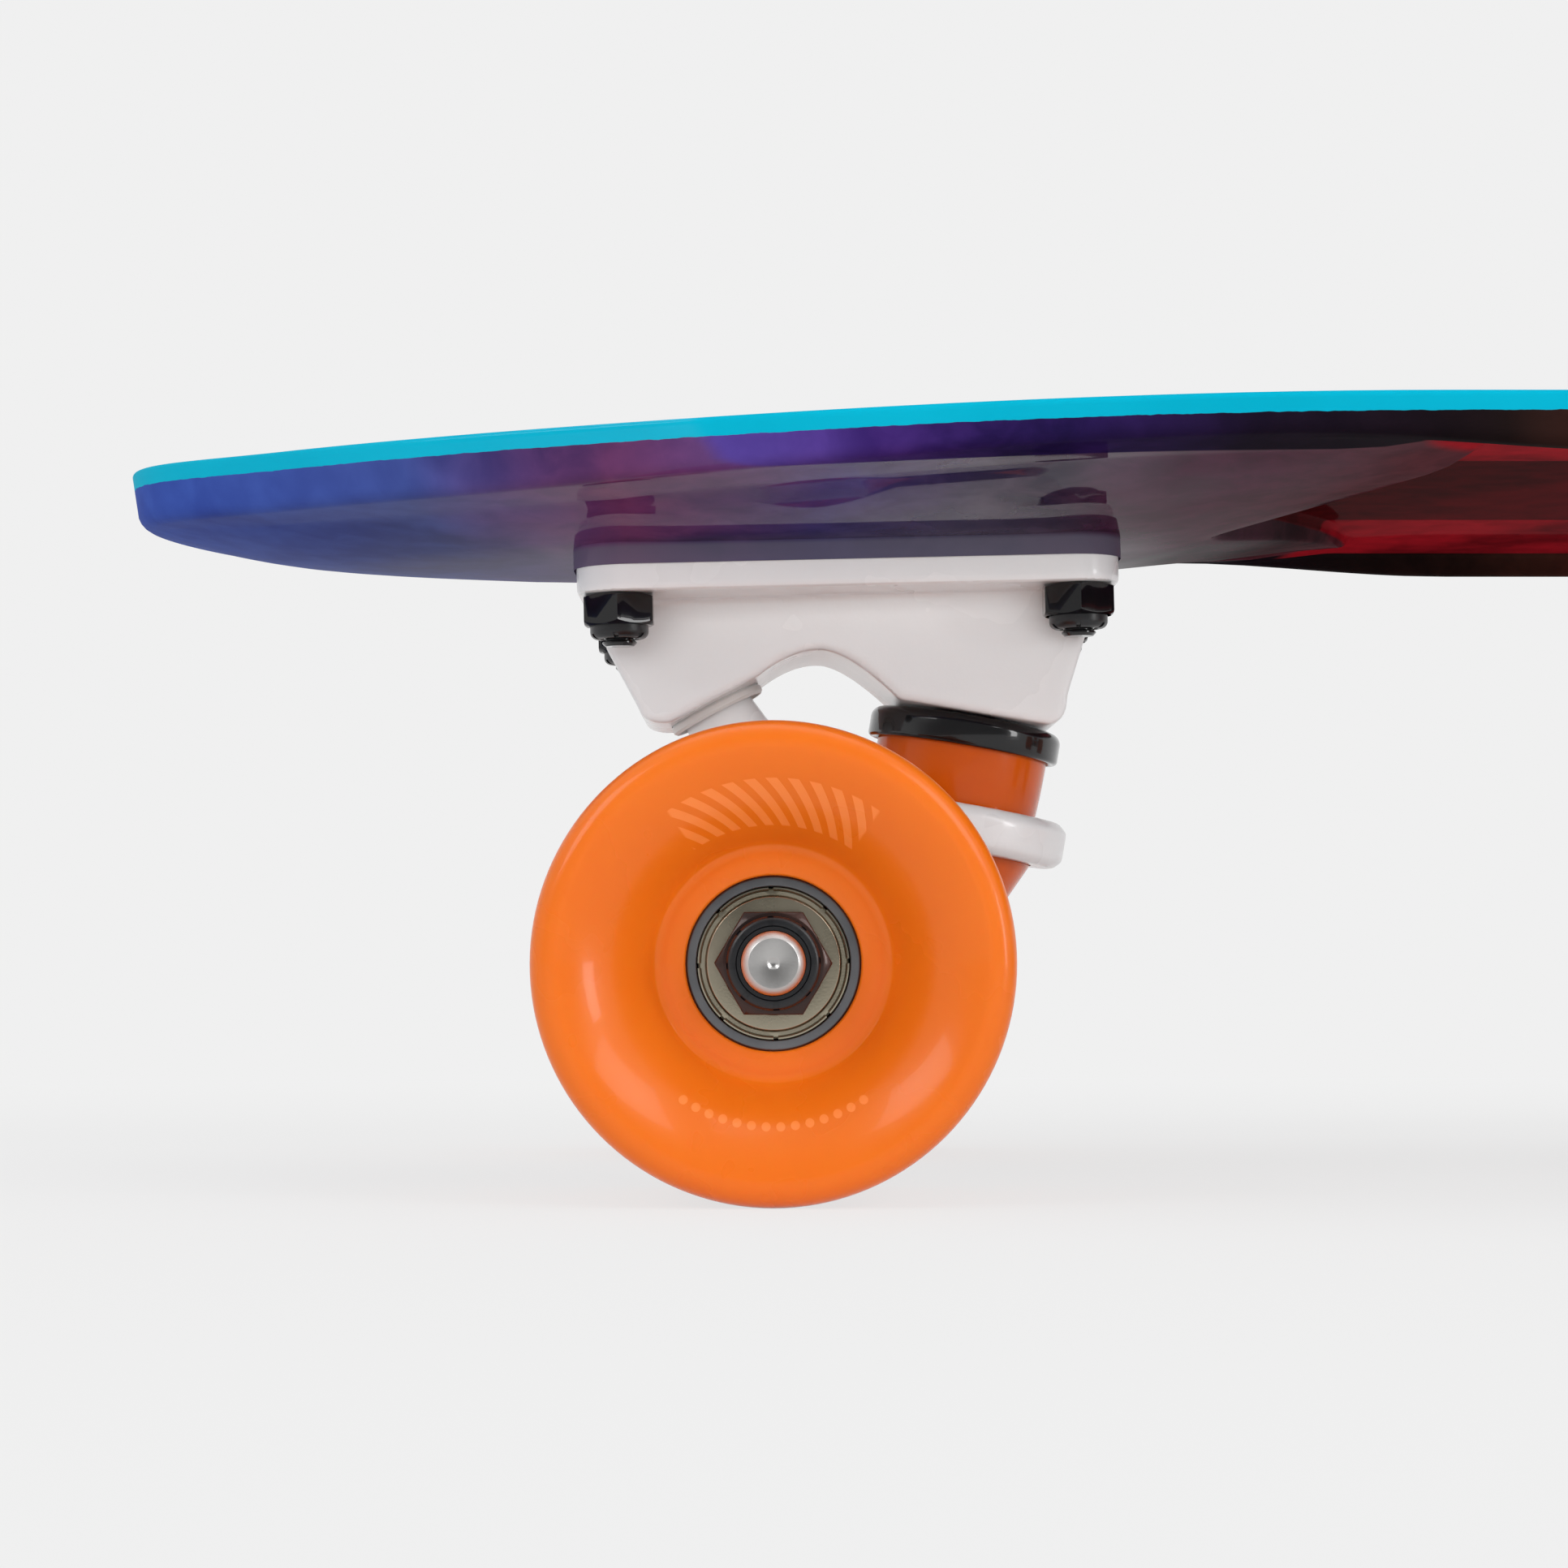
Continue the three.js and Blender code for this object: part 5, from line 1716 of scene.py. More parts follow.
    def add(self, trucks: Sequence[Truck]) -> None:
        """Models each piece once and copies it to every wheel.

        Args:
            trucks: the trucks that carry the wheels.
        """
        bore = self.axle_diameter + 0.2 * MM
        nut = HexNut(self.nut_across, self.nut_height, bore, DARK_STEEL, self.nut_collar, 0.5 * MM, crimps=8)
        models = {"nut": nut.built("axle nut"), "wheel": self.wheel(), "bearing": self.bearing()}
        models |= {"core": self.core(), "axle": self.axle("axle")}
        for truck in trucks:
            node = truck.named("axle")
            delivered(copied(models["axle"], f"{node}_steel", truck.level @ CROSSWAYS), truck.body, node)
            for side in Side:
                self.add_roller(truck, side, models)
        for model in models.values():
            bpy.data.objects.remove(model)

    def add_roller(self, truck: Truck, side: Side, models: dict[str, Object]) -> None:
        """Copies one wheel's pieces to one end of an axle.

        Args:
            truck: the truck that carries the wheel.
            side: the axle's end.
            models: the pieces, each modelled on Z.
        """
        name = truck.named(side.value)
        turned = Matrix.Rotation(-side.way * math.pi / 2, 4, "X")
        outwards = Matrix.Translation(truck.level.translation) @ turned
        roller = f"{name}_roller"
        apart = (self.spacer_length + self.bearing_width) / 2
        pieces = (
            ("wheel", "wheel", "urethane", self.middle, roller),
            ("bearing", "outer_bearing", "steel", self.middle + apart, roller),
            ("bearing", "inner_bearing", "steel", self.middle - apart, roller),
            ("core", "bearing_core", "steel", self.middle, truck.body),
            ("nut", "axle_nut", "steel", self.start + self.stack, truck.body),
        )
        for model, part, stuff, out, body in pieces:
            node = f"{name}_{part}"
            piece = copied(models[model], f"{node}_{stuff}", outwards @ Matrix.Translation((0, 0, out)))
            delivered(piece, body, node)


# Deck


@dataclass(frozen=True)
class Station:
    """A line across the deck, and how far the recess has opened there.

    It lies at inboard of the axle, plus follow times the place of the recess's end. Lift is its height
    over the underside on the rounded edge. Fillet counts down from 1, where the end wall ends, to 0 on
    the ceiling.
    """

    inboard: float
    follow: float = 0
    lift: float | None = None
    fillet: float | None = None


@dataclass(frozen=True)
class Row:
    """A line along the deck: its place between spine and rim, and the side wall's height there."""

    out: float
    lift: float | None = None
    fillet: float | None = None


@dataclass
class Deck:
    """The board: one moulding with a recessed underside, and its waffle top."""

    trucks: Sequence[Truck]
    length: float = 572 * MM
    width: float = 151 * MM
    nose_length: float = 182 * MM
    tail_length: float = 178 * MM
    tail_powers: Point = (3, 2.6)
    camber_drop: float = 2.5 * MM
    camber_span: Point = (-70 * MM, 80 * MM)
    nose_lift: float = 1.6 * MM
    nose_lift_length: float = 27 * MM
    kick_rise: float = 31.7 * MM
    kick_length: float = 110 * MM
    pad_thickness: float = 13.35 * MM
    pad_margin: float = 1 * MM
    wall_depths: tuple[float, float, float] = (7.7 * MM, 4.9 * MM, 7.1 * MM)
    wall_fall: Point = (-50 * MM, 62 * MM)
    wall_rise: Point = (66 * MM, 110 * MM)
    wall_draft: float = 0.8 * MM
    top_round: float = 0.6 * MM
    lower_round: float = 2.2 * MM
    spine_ends: Point = (56 * MM, 45 * MM)
    hull_depths: tuple[float, float, float, float] = (11.7 * MM, 10.3 * MM, 12.2 * MM, 4.3 * MM)
    hull_swell: float = 14 * MM
    hull_fade: Point = (33 * MM, 108 * MM)
    hull_powers: Point = (2.6, 2.9)
    corner_rise: tuple[Point, Point] = ((72 * MM, 92 * MM), (40 * MM, 64 * MM))
    shoulder: Point = (10 * MM, 0.9 * MM)
    recess_reach: float = 63.7 * MM
    recess_bulge: float = 27 * MM
    recess_bulge_half: float = 57 * MM
    recess_half: float = 70 * MM
    panel_half: float = 31.5 * MM
    panel_drop: float = 0.9 * MM
    skin: float = 2.75 * MM
    fillet: float = 1.2 * MM
    rim_round: float = 0.8 * MM
    border: float = 9 * MM
    inlay: float = 1 * MM
    cell: float = 7 * MM
    cell_insets: tuple[Point, Point] = ((0.75 * MM, 0), (0.3 * MM, 0.55 * MM))
    station_pitch: float = 3.5 * MM
    station_reach: Point = (40 * MM, 104 * MM)
    end_draft: float = 0.6 * MM
    side_draft: float = 0.15 * MM

    ROWS = (
        0, 2, 4, 6.5, 9.5, 13, 17, 21.5, 26, 30.7, 31.5, 32.3,
        36, 41, 46, 51, 56, 59.5, 61.8, 62.5, 63.2, 66,
    )

    def __post_init__(self) -> None:
        """Works out where the axles, the top and the ends lie."""
        self.axles = [truck.level.translation for truck in self.trucks]
        self.middle = (self.axles[0].x + self.axles[1].x) / 2
        self.top = self.pad_height(self.axles[0].x) + self.pad_thickness + self.camber(self.axles[0].x)
        self.start = self.wall_draft + self.lower_round
        self.spine = (self.spine_ends[0] - self.length / 2, self.length / 2 - self.spine_ends[1])

    def inboard(self, x: float) -> float:
        """How far a place lies inboard of the nearer axle."""
        return x - self.axles[0].x if x < self.middle else self.axles[1].x - x

    def camber(self, x: float) -> float:
        """How far the top has fallen from the deck's middle."""
        return self.camber_drop * (1 - softly(*self.camber_span, self.inboard(x)))

    def pad_height(self, x: float) -> float:
        """The height of the flat pad over a truck."""
        truck = self.trucks[0]
        seat = (truck.axle_to_plate + truck.seat_gap) / math.cos(truck.tilt)
        return truck.level.translation.z + seat + self.inboard(x) * math.tan(truck.tilt)

    def top_at(self, x: float) -> float:
        """The height of the riding surface."""
        lift = max(0, self.nose_lift_length - self.length / 2 - x) / self.nose_lift_length
        kick = max(0, x - self.length / 2 + self.kick_length) / self.kick_length
        bent = self.kick_rise * kick * kick * (1 + 0.5 * (1 - kick))
        return self.top - self.camber(x) + self.nose_lift * lift * lift + bent

    def half_width(self, x: float) -> float:
        """Half the deck's width where its outline stands at x."""
        nose = max(0, self.nose_length - self.length / 2 - x) / self.nose_length
        tail = max(0, x - self.length / 2 + self.tail_length) / self.tail_length
        share = math.sqrt(max(0, 1 - nose * nose))
        share *= max(0, 1 - tail ** self.tail_powers[0]) ** (1 / self.tail_powers[1])
        return self.width / 2 * share

    def recess_end(self, y: float) -> float:
        """How far inboard of the axle the recess ends, at a distance from the centreline."""
        soft = 6 * MM
        most = math.hypot(self.recess_bulge_half, soft) - soft
        off = min(1, (math.hypot(y, soft) - soft) / most)
        return self.recess_reach + self.recess_bulge * (1 - (1 - off) ** 1.8)

    def wall_at(self, x: float) -> float:
        """How far the side wall's lower edge lies below the top."""
        inboard = self.inboard(x)
        ends, truck, middle = self.wall_depths
        wall = between(ends, truck, softly(*self.wall_fall, inboard))
        return wall + (middle - truck) * softly(*self.wall_rise, inboard)

    def hull_at(self, x: float) -> float:
        """How far the underside lies below the top, on the spine."""
        inboard = self.inboard(x)
        end = 0 if x < self.middle else 1
        reach = abs(self.axles[end].x - self.spine[end])
        *ends, truck, faded = self.hull_depths
        depth = between(ends[end], truck, softly(-reach, -self.hull_swell, inboard))
        return between(depth, faded, softly(*self.hull_fade, inboard))

    def underside(self, x: float, spine_x: float, inset: float, run: float, sideways: float) -> float:
        """The height of the underside before the recess is taken out.

        Args:
            x: the place.
            spine_x: the spine point that it belongs to.
            inset: how far the place lies in from the wall's lower edge.
            run: how far the spine lies in from it.
            sideways: 1 where the edge faces the side, 0 where it faces the end.

        Returns:
            The height.
        """
        level = sideways * (1 - softly(60 * MM, 100 * MM, self.inboard(x)))
        width = self.shoulder[0] * sideways
        fall = self.shoulder[1] * level * min(1, inset / (width + WELD))
        share = max(0, inset - width) / (run - width)
        edge = self.wall_at(x) + fall
        swell = 1 - (1 - share) ** between(*self.hull_powers, sideways)
        return self.top_at(x) - between(edge, self.hull_at(spine_x), swell)

    def ceiling(self, y: float) -> float:
        """The height of the recess's ceiling."""
        slope = self.panel_drop / (self.recess_half - self.panel_half)
        return self.top - self.skin - slope * max(0, abs(y) - self.panel_half)

    def stations(self, end: int) -> list[Station]:
        """The lines across one end, from the spine's end inboard to the level middle.

        Args:
            end: 0 for the nose, 1 for the tail.

        Returns:
            The stations, from outboard to inboard.
        """
        outer = -abs(self.axles[end].x - self.spine[end])
        near, far = self.station_reach
        count = round((near - outer) / self.station_pitch)
        lines = [Station(between(outer, near, step / count)) for step in range(count)]
        for share in (step / 8 for step in range(8)):
            lines.append(Station(between(near, -self.rim_round, share), share))
        for turn in quarter(4):
            inwards = self.rim_round * (math.sin(turn) - 1)
            lines.append(Station(inwards, 1, self.rim_round * (1 - math.cos(turn))))
        for turn in quarter(4):
            inwards = self.end_draft + self.fillet * (1 - math.cos(turn))
            lines.append(Station(inwards, 1, None, 1 - math.sin(turn)))
        for share in (step / 6 for step in range(1, 7)):
            lines.append(Station(between(self.end_draft + self.fillet, far, share), 1 - share, None, 0))
        return lines

    def rows(self) -> list[Row]:
        """The lines along the underside, from the spine to the wall's lower edge."""
        lines = [Row(out * MM, fillet=0) for out in self.ROWS]
        wall = self.recess_half - self.side_draft
        for turn in quarter(4):
            lines.append(Row(wall - self.fillet * (1 - math.sin(turn)), fillet=1 - math.cos(turn)))
        for turn in quarter(4):
            out = self.recess_half + self.rim_round * (1 - math.cos(turn))
            lines.append(Row(out, lift=self.rim_round * (1 - math.sin(turn))))
        return [*lines, Row(self.width / 2 - self.start - 0.7 * MM, lift=0)]

    def place_on(self, station: Station, end: int, row: Row, side: int) -> Vector:
        """A point of the underside on a line across the deck.

        Args:
            station: the line across.
            end: 0 for the nose, 1 for the tail.
            row: the line along.
            side: -1 or 1.

        Returns:
            The point.
        """
        way = 1 - 2 * end
        widest = self.width / 2 - self.start
        y = row.out
        x = self.axles[end].x + way * (station.inboard + station.follow * self.recess_end(y))
        half = self.half_width(x) - self.start
        y *= half / widest
        z = self.underside(x, x, half - y, half, 1)
        top = self.raised(row, y, z)
        rise = softly(*self.corner_rise[0], self.inboard(x)) * softly(*self.corner_rise[1], y)
        inner = self.opened(station, row, y, z)
        z = between(z, max(z, top), rise)
        return Vector((x, side * y, z if inner is None else max(z, inner)))

    def raised(self, row: Row, y: float, rim: float) -> float:
        """The height on a line along the recess: its side wall, or its ceiling.

        Args:
            row: the line along.
            y: the distance from the centreline.
            rim: the height of the underside round the recess.

        Returns:
            The height.
        """
        return rim + row.lift if row.fillet is None else self.ceiling(y) - self.fillet * row.fillet

    def opened(self, station: Station, row: Row, y: float, rim: float) -> float | None:
        """The recess's height at a point, if the point is in it.

        Args:
            station: the line across.
            row: the line along.
            y: the distance from the centreline.
            rim: the height of the underside round the recess.

        Returns:
            The height, or None outside.
        """
        if station.lift is None and station.fillet is None:
            return None
        end = rim + station.lift if station.fillet is None else self.ceiling(y) - self.fillet * station.fillet
        return min(end, self.raised(row, y, rim))

    def edge_points(self, edge: Vector, outward: Vector, reach: float) -> list[Vector]:
        """The points from the wall's lower edge up, over the top edge and in to the spine.

        Args:
            edge: the outline's point, in plan.
            outward: the way out from the spine.
            reach: the distance from the spine.

        Returns:
            The points.
        """
        turns = quarter(5)[::-1]
        line = []
        wall = self.wall_at((edge - outward * self.start).x)
        for turn in turns:
            inset = self.wall_draft + self.lower_round * (1 - math.cos(turn))
            line.append((inset, wall - self.lower_round * (1 - math.sin(turn))))
        foot = line[-1][1]
        for share in (0.3, 0.6, 0.85):
            line.append((self.wall_draft * (1 - share), between(foot, self.top_round, share)))
        for turn in turns:
            line.append((self.top_round * (1 - math.sin(turn)), self.top_round * (1 - math.cos(turn))))
        soft = 0.35 * MM
        line += [(self.border - 3 * MM, 0), (self.border - soft, 0)]
        line += [(self.border - soft * 0.3, soft * 0.3), (self.border, soft)]
        line += [(self.border + 0.1 * MM, self.inlay)]
        line += [(between(self.border, reach, share), self.inlay) for share in (0.3, 0.65, 1)]
        points = []
        for inset, drop in line:
            plan = edge - outward * inset
            points.append(Vector((plan.x, plan.y, self.top_at(plan.x) - drop)))
        return points

    def ray_on(self, station: Station, end: int, side: int) -> list[Vector]:
        """All points of a line across half the deck.

        Args:
            station: the line.
            end: 0 for the nose, 1 for the tail.
            side: -1 or 1.

        Returns:
            The points, from the spine below to the spine above.
        """
        points = [self.place_on(station, end, row, side) for row in self.rows()]
        x = points[-1].x
        half = self.half_width(x)
        edge = self.edge_points(Vector((x, side * half, 0)), Vector((0, side, 0)), half)
        return self.settled(points, edge)

    def settled(self, below: list[Vector], edge: list[Vector]) -> list[Vector]:
        """A ray's points, with the spine above put over the spine below.

        Args:
            below: the underside's points.
            edge: the points from the wall to the spine above.

        Returns:
            All of them.
        """
        spine = below[0].x
        for share, point in zip((0.3, 0.65, 1), edge[-3:]):
            point.x = between(edge[-4].x, spine, share)
            point.z = self.top_at(point.x) - self.inlay
        return below + edge

    def ray_from(self, edge: Vector, end: int) -> list[Vector]:
        """All points of a ray from the spine's end to the outline.

        Args:
            edge: the outline's point, in plan.
            end: 0 for the nose, 1 for the tail.

        Returns:
            The points.
        """
        spine = Vector((self.spine[end], 0, 0))
        reach = (edge - spine).length
        outward = (edge - spine) / reach
        widest = self.width / 2 - self.start
        run = reach - self.start
        points = []
        for row in self.rows():
            out = run * row.out / widest
            plan = spine + outward * out
            height = self.underside(plan.x, spine.x, run - out, run, abs(outward.y))
            points.append(Vector((plan.x, plan.y, height)))
        return points + self.edge_points(edge, outward, reach)

    def end_edges(self, end: int) -> list[Vector]:
        """The outline's points round one end, from its tip to the spine's end.

        Args:
            end: 0 for the nose, 1 for the tail.

        Returns:
            The points on the side of positive Y, in plan.
        """
        tip = self.length / 2 * (2 * end - 1)
        long = (self.nose_length, self.tail_length)[end]
        powers = ((2, 2), self.tail_powers)[end]
        foot = abs(self.spine[end] - tip + long * (2 * end - 1)) / long
        last = math.acos(foot ** (powers[0] / 2))
        points = []
        steps = 40
        for step in range(steps + 1):
            turn = last * (step / steps) ** (powers[1] / 2)
            along = math.cos(turn) ** (2 / powers[0])
            across = math.sin(turn) ** (2 / powers[1])
            points.append(Vector((tip - long * (1 - along) * (2 * end - 1), self.width / 2 * across, 0)))
        return points

    def half(self, side: int) -> list[list[Vector]]:
        """The rays of one side, from the nose's tip to the tail's.

        Args:
            side: -1 or 1.

        Returns:
            The rays.
        """
        mirror = Vector((1, side, 1))
        nose = [self.ray_from(point * mirror, 0) for point in self.end_edges(0)[:-1]]
        tail = [self.ray_from(point * mirror, 1) for point in self.end_edges(1)[:-1]]
        front = [self.ray_on(station, 0, side) for station in self.stations(0)]
        rear = [self.ray_on(station, 1, side) for station in self.stations(1)]
        first, last = front[-1][-1].x, rear[-1][-1].x
        level = []
        for step in range(1, 20):
            inboard = self.inboard(between(first, last, step / 20))
            end = 0 if step < 10 or inboard > abs(self.middle - self.axles[0].x) else 1
            level.append(self.ray_on(Station(inboard, 0, None, 0), end, side))
        return nose + front + level + rear[::-1] + tail[::-1]

    def board(self) -> Object:
        """The moulding, wrapped from a grid and drilled for the bolts."""
        rays = [*self.half(-1), *self.half(1)[-2:0:-1]]
        rays.append(rays[0])
        deselect()
        bpy.ops.mesh.primitive_grid_add(x_subdivisions=len(rays) - 1, y_subdivisions=len(rays[0]) - 1)
        board = started("board")
        for index, vertex in enumerate(board.data.vertices):
            row, ray = divmod(index, len(rays))
            vertex.co = rays[ray][row]
        cleaned(board)
        combined(board, "UNION", *[self.pad(truck) for truck in self.trucks])
        combined(board, "DIFFERENCE", self.drill())
        drop = board.data.attributes.new("drop", "FLOAT", "POINT")
        for vertex in board.data.vertices:
            drop.data[vertex.index].value = self.top_at(vertex.co.x) - vertex.co.z
        return dressed(rounded(board), DECK_PLASTIC)

    def pad(self, truck: Truck) -> Object:
        """The raised pad that a baseplate rests on, with the plate's outline and soft edges.

        Args:
            truck: the truck over it.

        Returns:
            The pad, its upper part inside the board.
        """
        wide = 2 * self.pad_margin
        size = Vector((truck.plate_length + wide, truck.plate_width + wide, self.pad_thickness / 2))
        foot = Vector((truck.plate_offset, 0, truck.axle_to_plate + truck.seat_gap))
        deselect()
        bpy.ops.mesh.primitive_cube_add(size=1)
        pad = moulded(started("pad"), lambda p: (p + Vector((0, 0, 0.5))) * size + foot)
        choose_faces(pad, lambda face: False)
        for edge in pad.data.edges:
            edge.select = self.upright(pad, edge)
        with marked(pad, "EDGE"):
            bpy.ops.mesh.bevel(offset=truck.plate_corner + self.pad_margin, segments=10)
        return placed(softened(pad, 0.5 * MM, 3), truck.place)

    def upright(self, obj: Object, edge: bpy.types.MeshEdge) -> bool:
        """Whether an edge of a block runs up and down."""
        ends = [obj.data.vertices[index].co for index in edge.vertices]
        return (ends[0] - ends[1]).xy.length < WELD

    def drill(self) -> Object:
        """All bolt holes with their countersinks, as one tool."""
        bolts = MountingBolts()
        tools = []
        for truck in self.trucks:
            top = bolts.head_top(truck)
            gap = truck.slip_gap
            hole, head = bolts.diameter / 2 + gap, bolts.head_diameter / 2 + gap
            low, high = truck.plate_under, top + 6 * MM
            section = [(0, low), (hole, low), (hole, top - bolts.head_depth - gap)]
            section += [(head, top - gap), (head, high), (0, high)]
            for x, y in truck.bolt_places():
                tool = spun("drill", section, 32)
                tools.append(placed(tool, truck.place @ Matrix.Translation((x, y, 0))))
        return joined("drill", *tools)

    def waffle(self) -> Object:
        """The top's waffle field, cut to the outline and laid on the camber."""
        columns = math.ceil(self.length / self.cell)
        lines = math.ceil(self.width / self.cell / 2) * 2
        size = Vector((columns * self.cell, lines * self.cell, 0))
        deselect()
        bpy.ops.mesh.primitive_grid_add(x_subdivisions=columns, y_subdivisions=lines, size=1)
        field = started("waffle")
        moulded(field, lambda p: p * size)
        bolts = [truck.place @ Vector((x, y, 0)) for truck in self.trucks for x, y in truck.bolt_places()]

        def open_cell(face: Face) -> bool:
            return all((face.center.xy - bolt.xy).length > self.cell for bolt in bolts)

        choose_faces(field, open_cell)
        with marked(field, "FACE"):
            for width, depth in self.cell_insets:
                bpy.ops.mesh.inset(thickness=width, depth=-depth, use_individual=True)
            bpy.ops.mesh.select_all(action="SELECT")
            bpy.ops.mesh.extrude_region_move(TRANSFORM_OT_translate={"value": (0, 0, -self.inlay)})
        cleaned(field)
        return field

    def field_outline(self) -> Object:
        """The prism that the waffle field is cut to."""
        half = [*self.end_edges(0)]
        start, stop = half[-1].x, self.end_edges(1)[-1].x
        for step in range(1, 60):
            x = between(start, stop, step / 60)
            half.append(Vector((x, self.half_width(x), 0)))
        half += self.end_edges(1)[::-1]
        inset = self.border + 0.12 * MM
        inner = []
        for point in half:
            spine = Vector((min(max(point.x, self.spine[0]), self.spine[1]), 0, 0))
            inner.append(point - (point - spine).normalized() * inset)
        loop = inner + [Vector((p.x, -p.y, 0)) for p in inner[-2:0:-1]]
        low = Vector((0, 0, -4 * MM))
        return extruded(outline("field outline", [point + low for point in loop], filled=True), -2 * low)

    def inlaid(self) -> Object:
        """The waffle field, finished."""
        field = combined(self.waffle(), "INTERSECT", self.field_outline())
        moulded(field, lambda p: Vector((p.x, p.y, self.top_at(p.x) + p.z)))
        combined(field, "DIFFERENCE", self.drill())
        return dressed(rounded(field), DECK_PLASTIC)

    def add(self) -> None:
        """Both pieces of the deck."""
        for name, piece in (("deck_board", self.board()), ("deck_waffle_top", self.inlaid())):
            piece.name = name
            delivered(piece, "board", "deck")


# Scene


@dataclass(frozen=True)
class Lamp:
    """A soft box that faces the board, with its size in metres and its power in watts."""

    name: str
    place: tuple[float, float, float]
    size: Point
    power: float
    mirrored: bool = True
    aim: tuple[float, float, float] = (-0.15, 0, 0.05)

    def add(self) -> None:
        """Puts the lamp in the scene."""
        data = bpy.data.lights.new(self.name, "AREA")
        data.shape = "RECTANGLE"
        data.size, data.size_y = self.size
        data.energy = self.power
        lamp = bpy.data.objects.new(self.name, data)
        lamp.location = self.place
        lamp.visible_glossy = self.mirrored
        aim = Vector(self.aim) - Vector(self.place)
        lamp.rotation_euler = aim.to_track_quat("-Z", "Y").to_euler()
        bpy.context.scene.collection.objects.link(lamp)


LAMPS = (
    Lamp("left soft box", (-1.35, -1.05, 1.0), (0.7, 0.8), 6.5),
    Lamp("right soft box", (0.95, -1.05, 1.0), (0.7, 0.8), 6.5),
    Lamp("right strip", (1.05, -0.75, 0.22), (0.22, 0.4), 2.5),
    Lamp("front fill", (-0.15, -2.7, 0.40), (3.4, 0.8), 21, mirrored=False),
    Lamp("back fill", (0.15, 2.7, 0.60), (3.4, 0.8), 9, mirrored=False),
    Lamp("top soft box", (-0.1, 0.1, 1.6), (1.6, 1.2), 6),
)


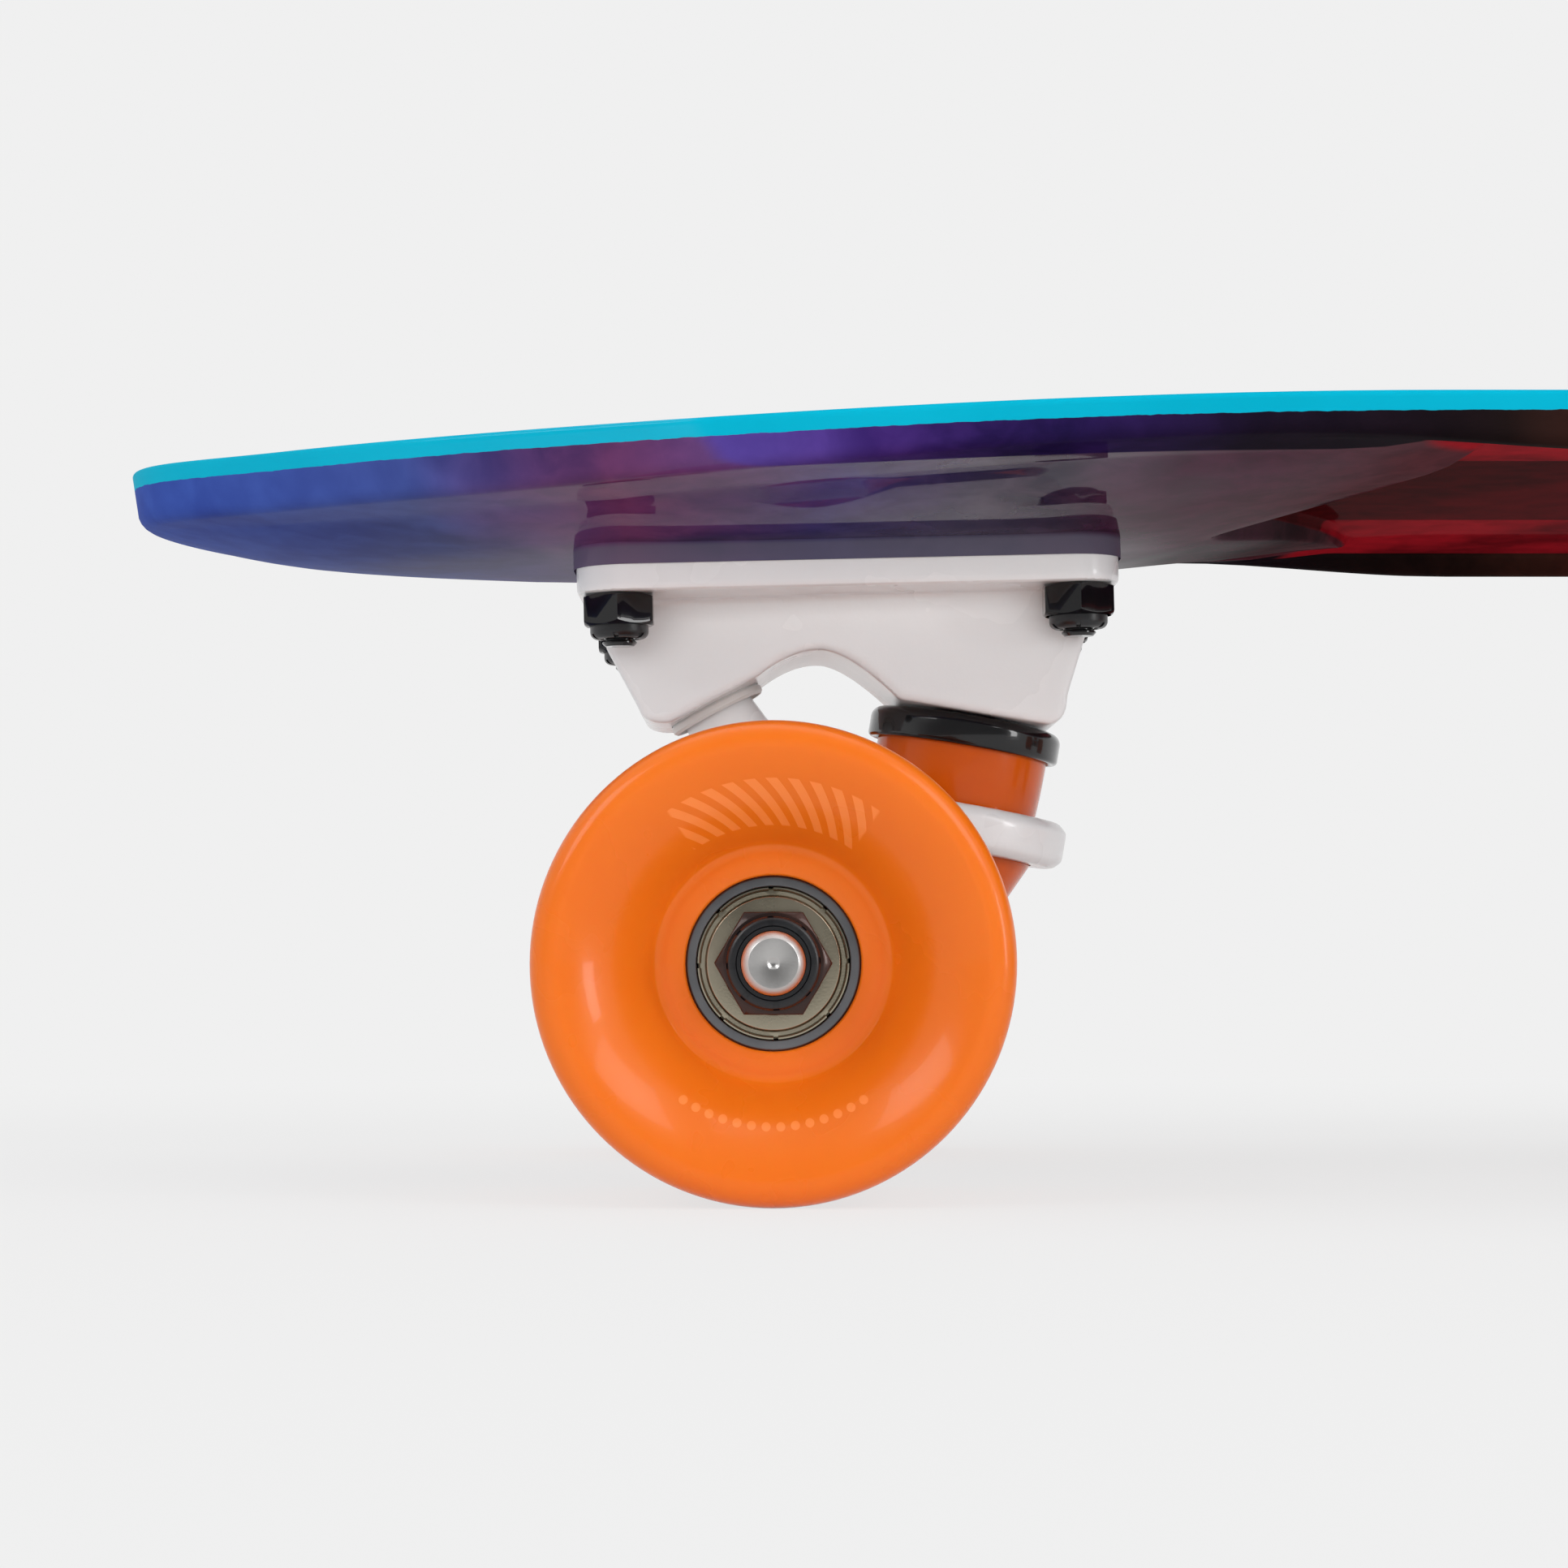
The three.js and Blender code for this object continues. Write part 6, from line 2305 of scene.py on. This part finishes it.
@dataclass
class Studio:
    """The floor, the light and the camera."""

    background: Colour = (0.871, 0.871, 0.871)
    focal_pixels: float = 4375
    image_pixels: float = 1932
    vanishing: Point = (953, 1187)
    sensor: float = 36
    camera_y: float = -0.510
    floor_share: float = 0.84
    floor_level: float = 0.99
    floor_fade: Point = (0.16, 0.42)
    front_level: float = 0.3
    front_fade: Point = (-0.3, -0.8)
    sky_level: float = 0.5

    def add_camera(self) -> None:
        """The camera, level with the front axle and turned so that the horizon falls where it is seen."""
        low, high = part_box("front_axle")
        axle = (low + high) / 2
        data = bpy.data.cameras.new("camera")
        camera = bpy.data.objects.new("camera", data)
        bpy.context.scene.collection.objects.link(camera)
        data.sensor_width = self.sensor
        data.lens = self.focal_pixels / self.image_pixels * self.sensor
        data.clip_start = 0.01
        centre = self.image_pixels / 2
        yaw = math.atan((centre - self.vanishing[0]) / self.focal_pixels)
        tilt = math.atan((self.vanishing[1] - centre) / self.focal_pixels)
        camera.location = (axle.x, self.camera_y, axle.z)
        camera.rotation_euler = (math.pi / 2 + tilt, 0, -yaw)
        bpy.context.scene.camera = camera

    def glow(self, make: Shader, kind: str, level: float) -> Node:
        """A shader that gives off the background's colour.

        Args:
            make: the tree that it goes into.
            kind: the node's type.
            level: how bright it is.

        Returns:
            The node.
        """
        return make.node(kind, {"Color": (*self.background, 1), "Strength": level})

    def seen(self, make: Shader) -> Socket:
        """1 for rays that look at the background: straight, mirrored or through glass."""
        path = make.node("ShaderNodeLightPath").outputs
        seen = make.math("MAXIMUM", path["Is Camera Ray"], path["Is Glossy Ray"])
        return make.math("MAXIMUM", seen, path["Is Transmission Ray"])

    def add_floor(self) -> None:
        """The floor: by the board it takes its shadow, and further out it is as plain as the backdrop."""
        deselect()
        bpy.ops.mesh.primitive_plane_add(size=12)
        floor = started("floor")
        material = bpy.data.materials.new("floor")
        make = emptied(material)
        matt = make.node("ShaderNodeBsdfDiffuse", {"Color": (*self.background, 1)})
        near = self.glow(make, "ShaderNodeEmission", self.floor_level)
        far = self.glow(make, "ShaderNodeEmission", 1.0)
        where = make.node("ShaderNodeTexCoord").outputs["Object"]
        centred = make.node("ShaderNodeMapping", {"Vector": where, "Scale": (0.5, 1, 1)}).outputs[0]
        away = make.node("ShaderNodeVectorMath", {0: centred}, operation="LENGTH").outputs["Value"]
        fade = make.step(away, *self.floor_fade)
        plain = make.shaders(fade, make.shaders(self.floor_share, matt, near), far)
        mixed = make.shaders(self.seen(make), matt, plain)
        below = make.node("ShaderNodeNewGeometry").outputs["Backfacing"]
        both = make.shaders(below, mixed, make.node("ShaderNodeBsdfTransparent"))
        make.node("ShaderNodeOutputMaterial", {"Surface": both.outputs[0]})
        floor.data.materials.append(material)

    def add_world(self) -> None:
        """An even sky that the camera and mirrors see as the plain background."""
        world = bpy.data.worlds.new("studio")
        bpy.context.scene.world = world
        make = emptied(world)
        sky = make.node("ShaderNodeBackground", {"Color": (1, 1, 1, 1), "Strength": self.sky_level})
        mixed = make.shaders(self.seen(make), sky, self.glow(make, "ShaderNodeBackground", 1.0))
        place = make.node("ShaderNodeTexCoord").outputs["Generated"]
        _, front, _ = make.node("ShaderNodeSeparateXYZ", {0: place}).outputs
        mirror = make.node("ShaderNodeLightPath").outputs["Is Glossy Ray"]
        share = make.times(mirror, make.step(front, *self.front_fade))
        both = make.shaders(share, mixed, self.glow(make, "ShaderNodeBackground", self.front_level))
        make.node("ShaderNodeOutputWorld", {"Surface": both.outputs[0]})

    def add(self) -> None:
        """Builds the whole studio."""
        bpy.context.scene.view_settings.view_transform = "Standard"
        self.add_camera()
        self.add_floor()
        self.add_world()
        for lamp in LAMPS:
            lamp.add()


def main() -> None:
    """Builds the studio and then every piece of the board."""
    logging.basicConfig(level=logging.INFO, format="%(message)s")
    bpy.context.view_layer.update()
    Studio().add()
    trucks = [Truck(End.FRONT), Truck(End.REAR)]
    for truck in trucks:
        truck.add_castings()
        truck.add_stack()
    MountingBolts().add(trucks)
    RollingGear().add(trucks)
    Deck(trucks).add()


if __name__ == "__main__":
    main()
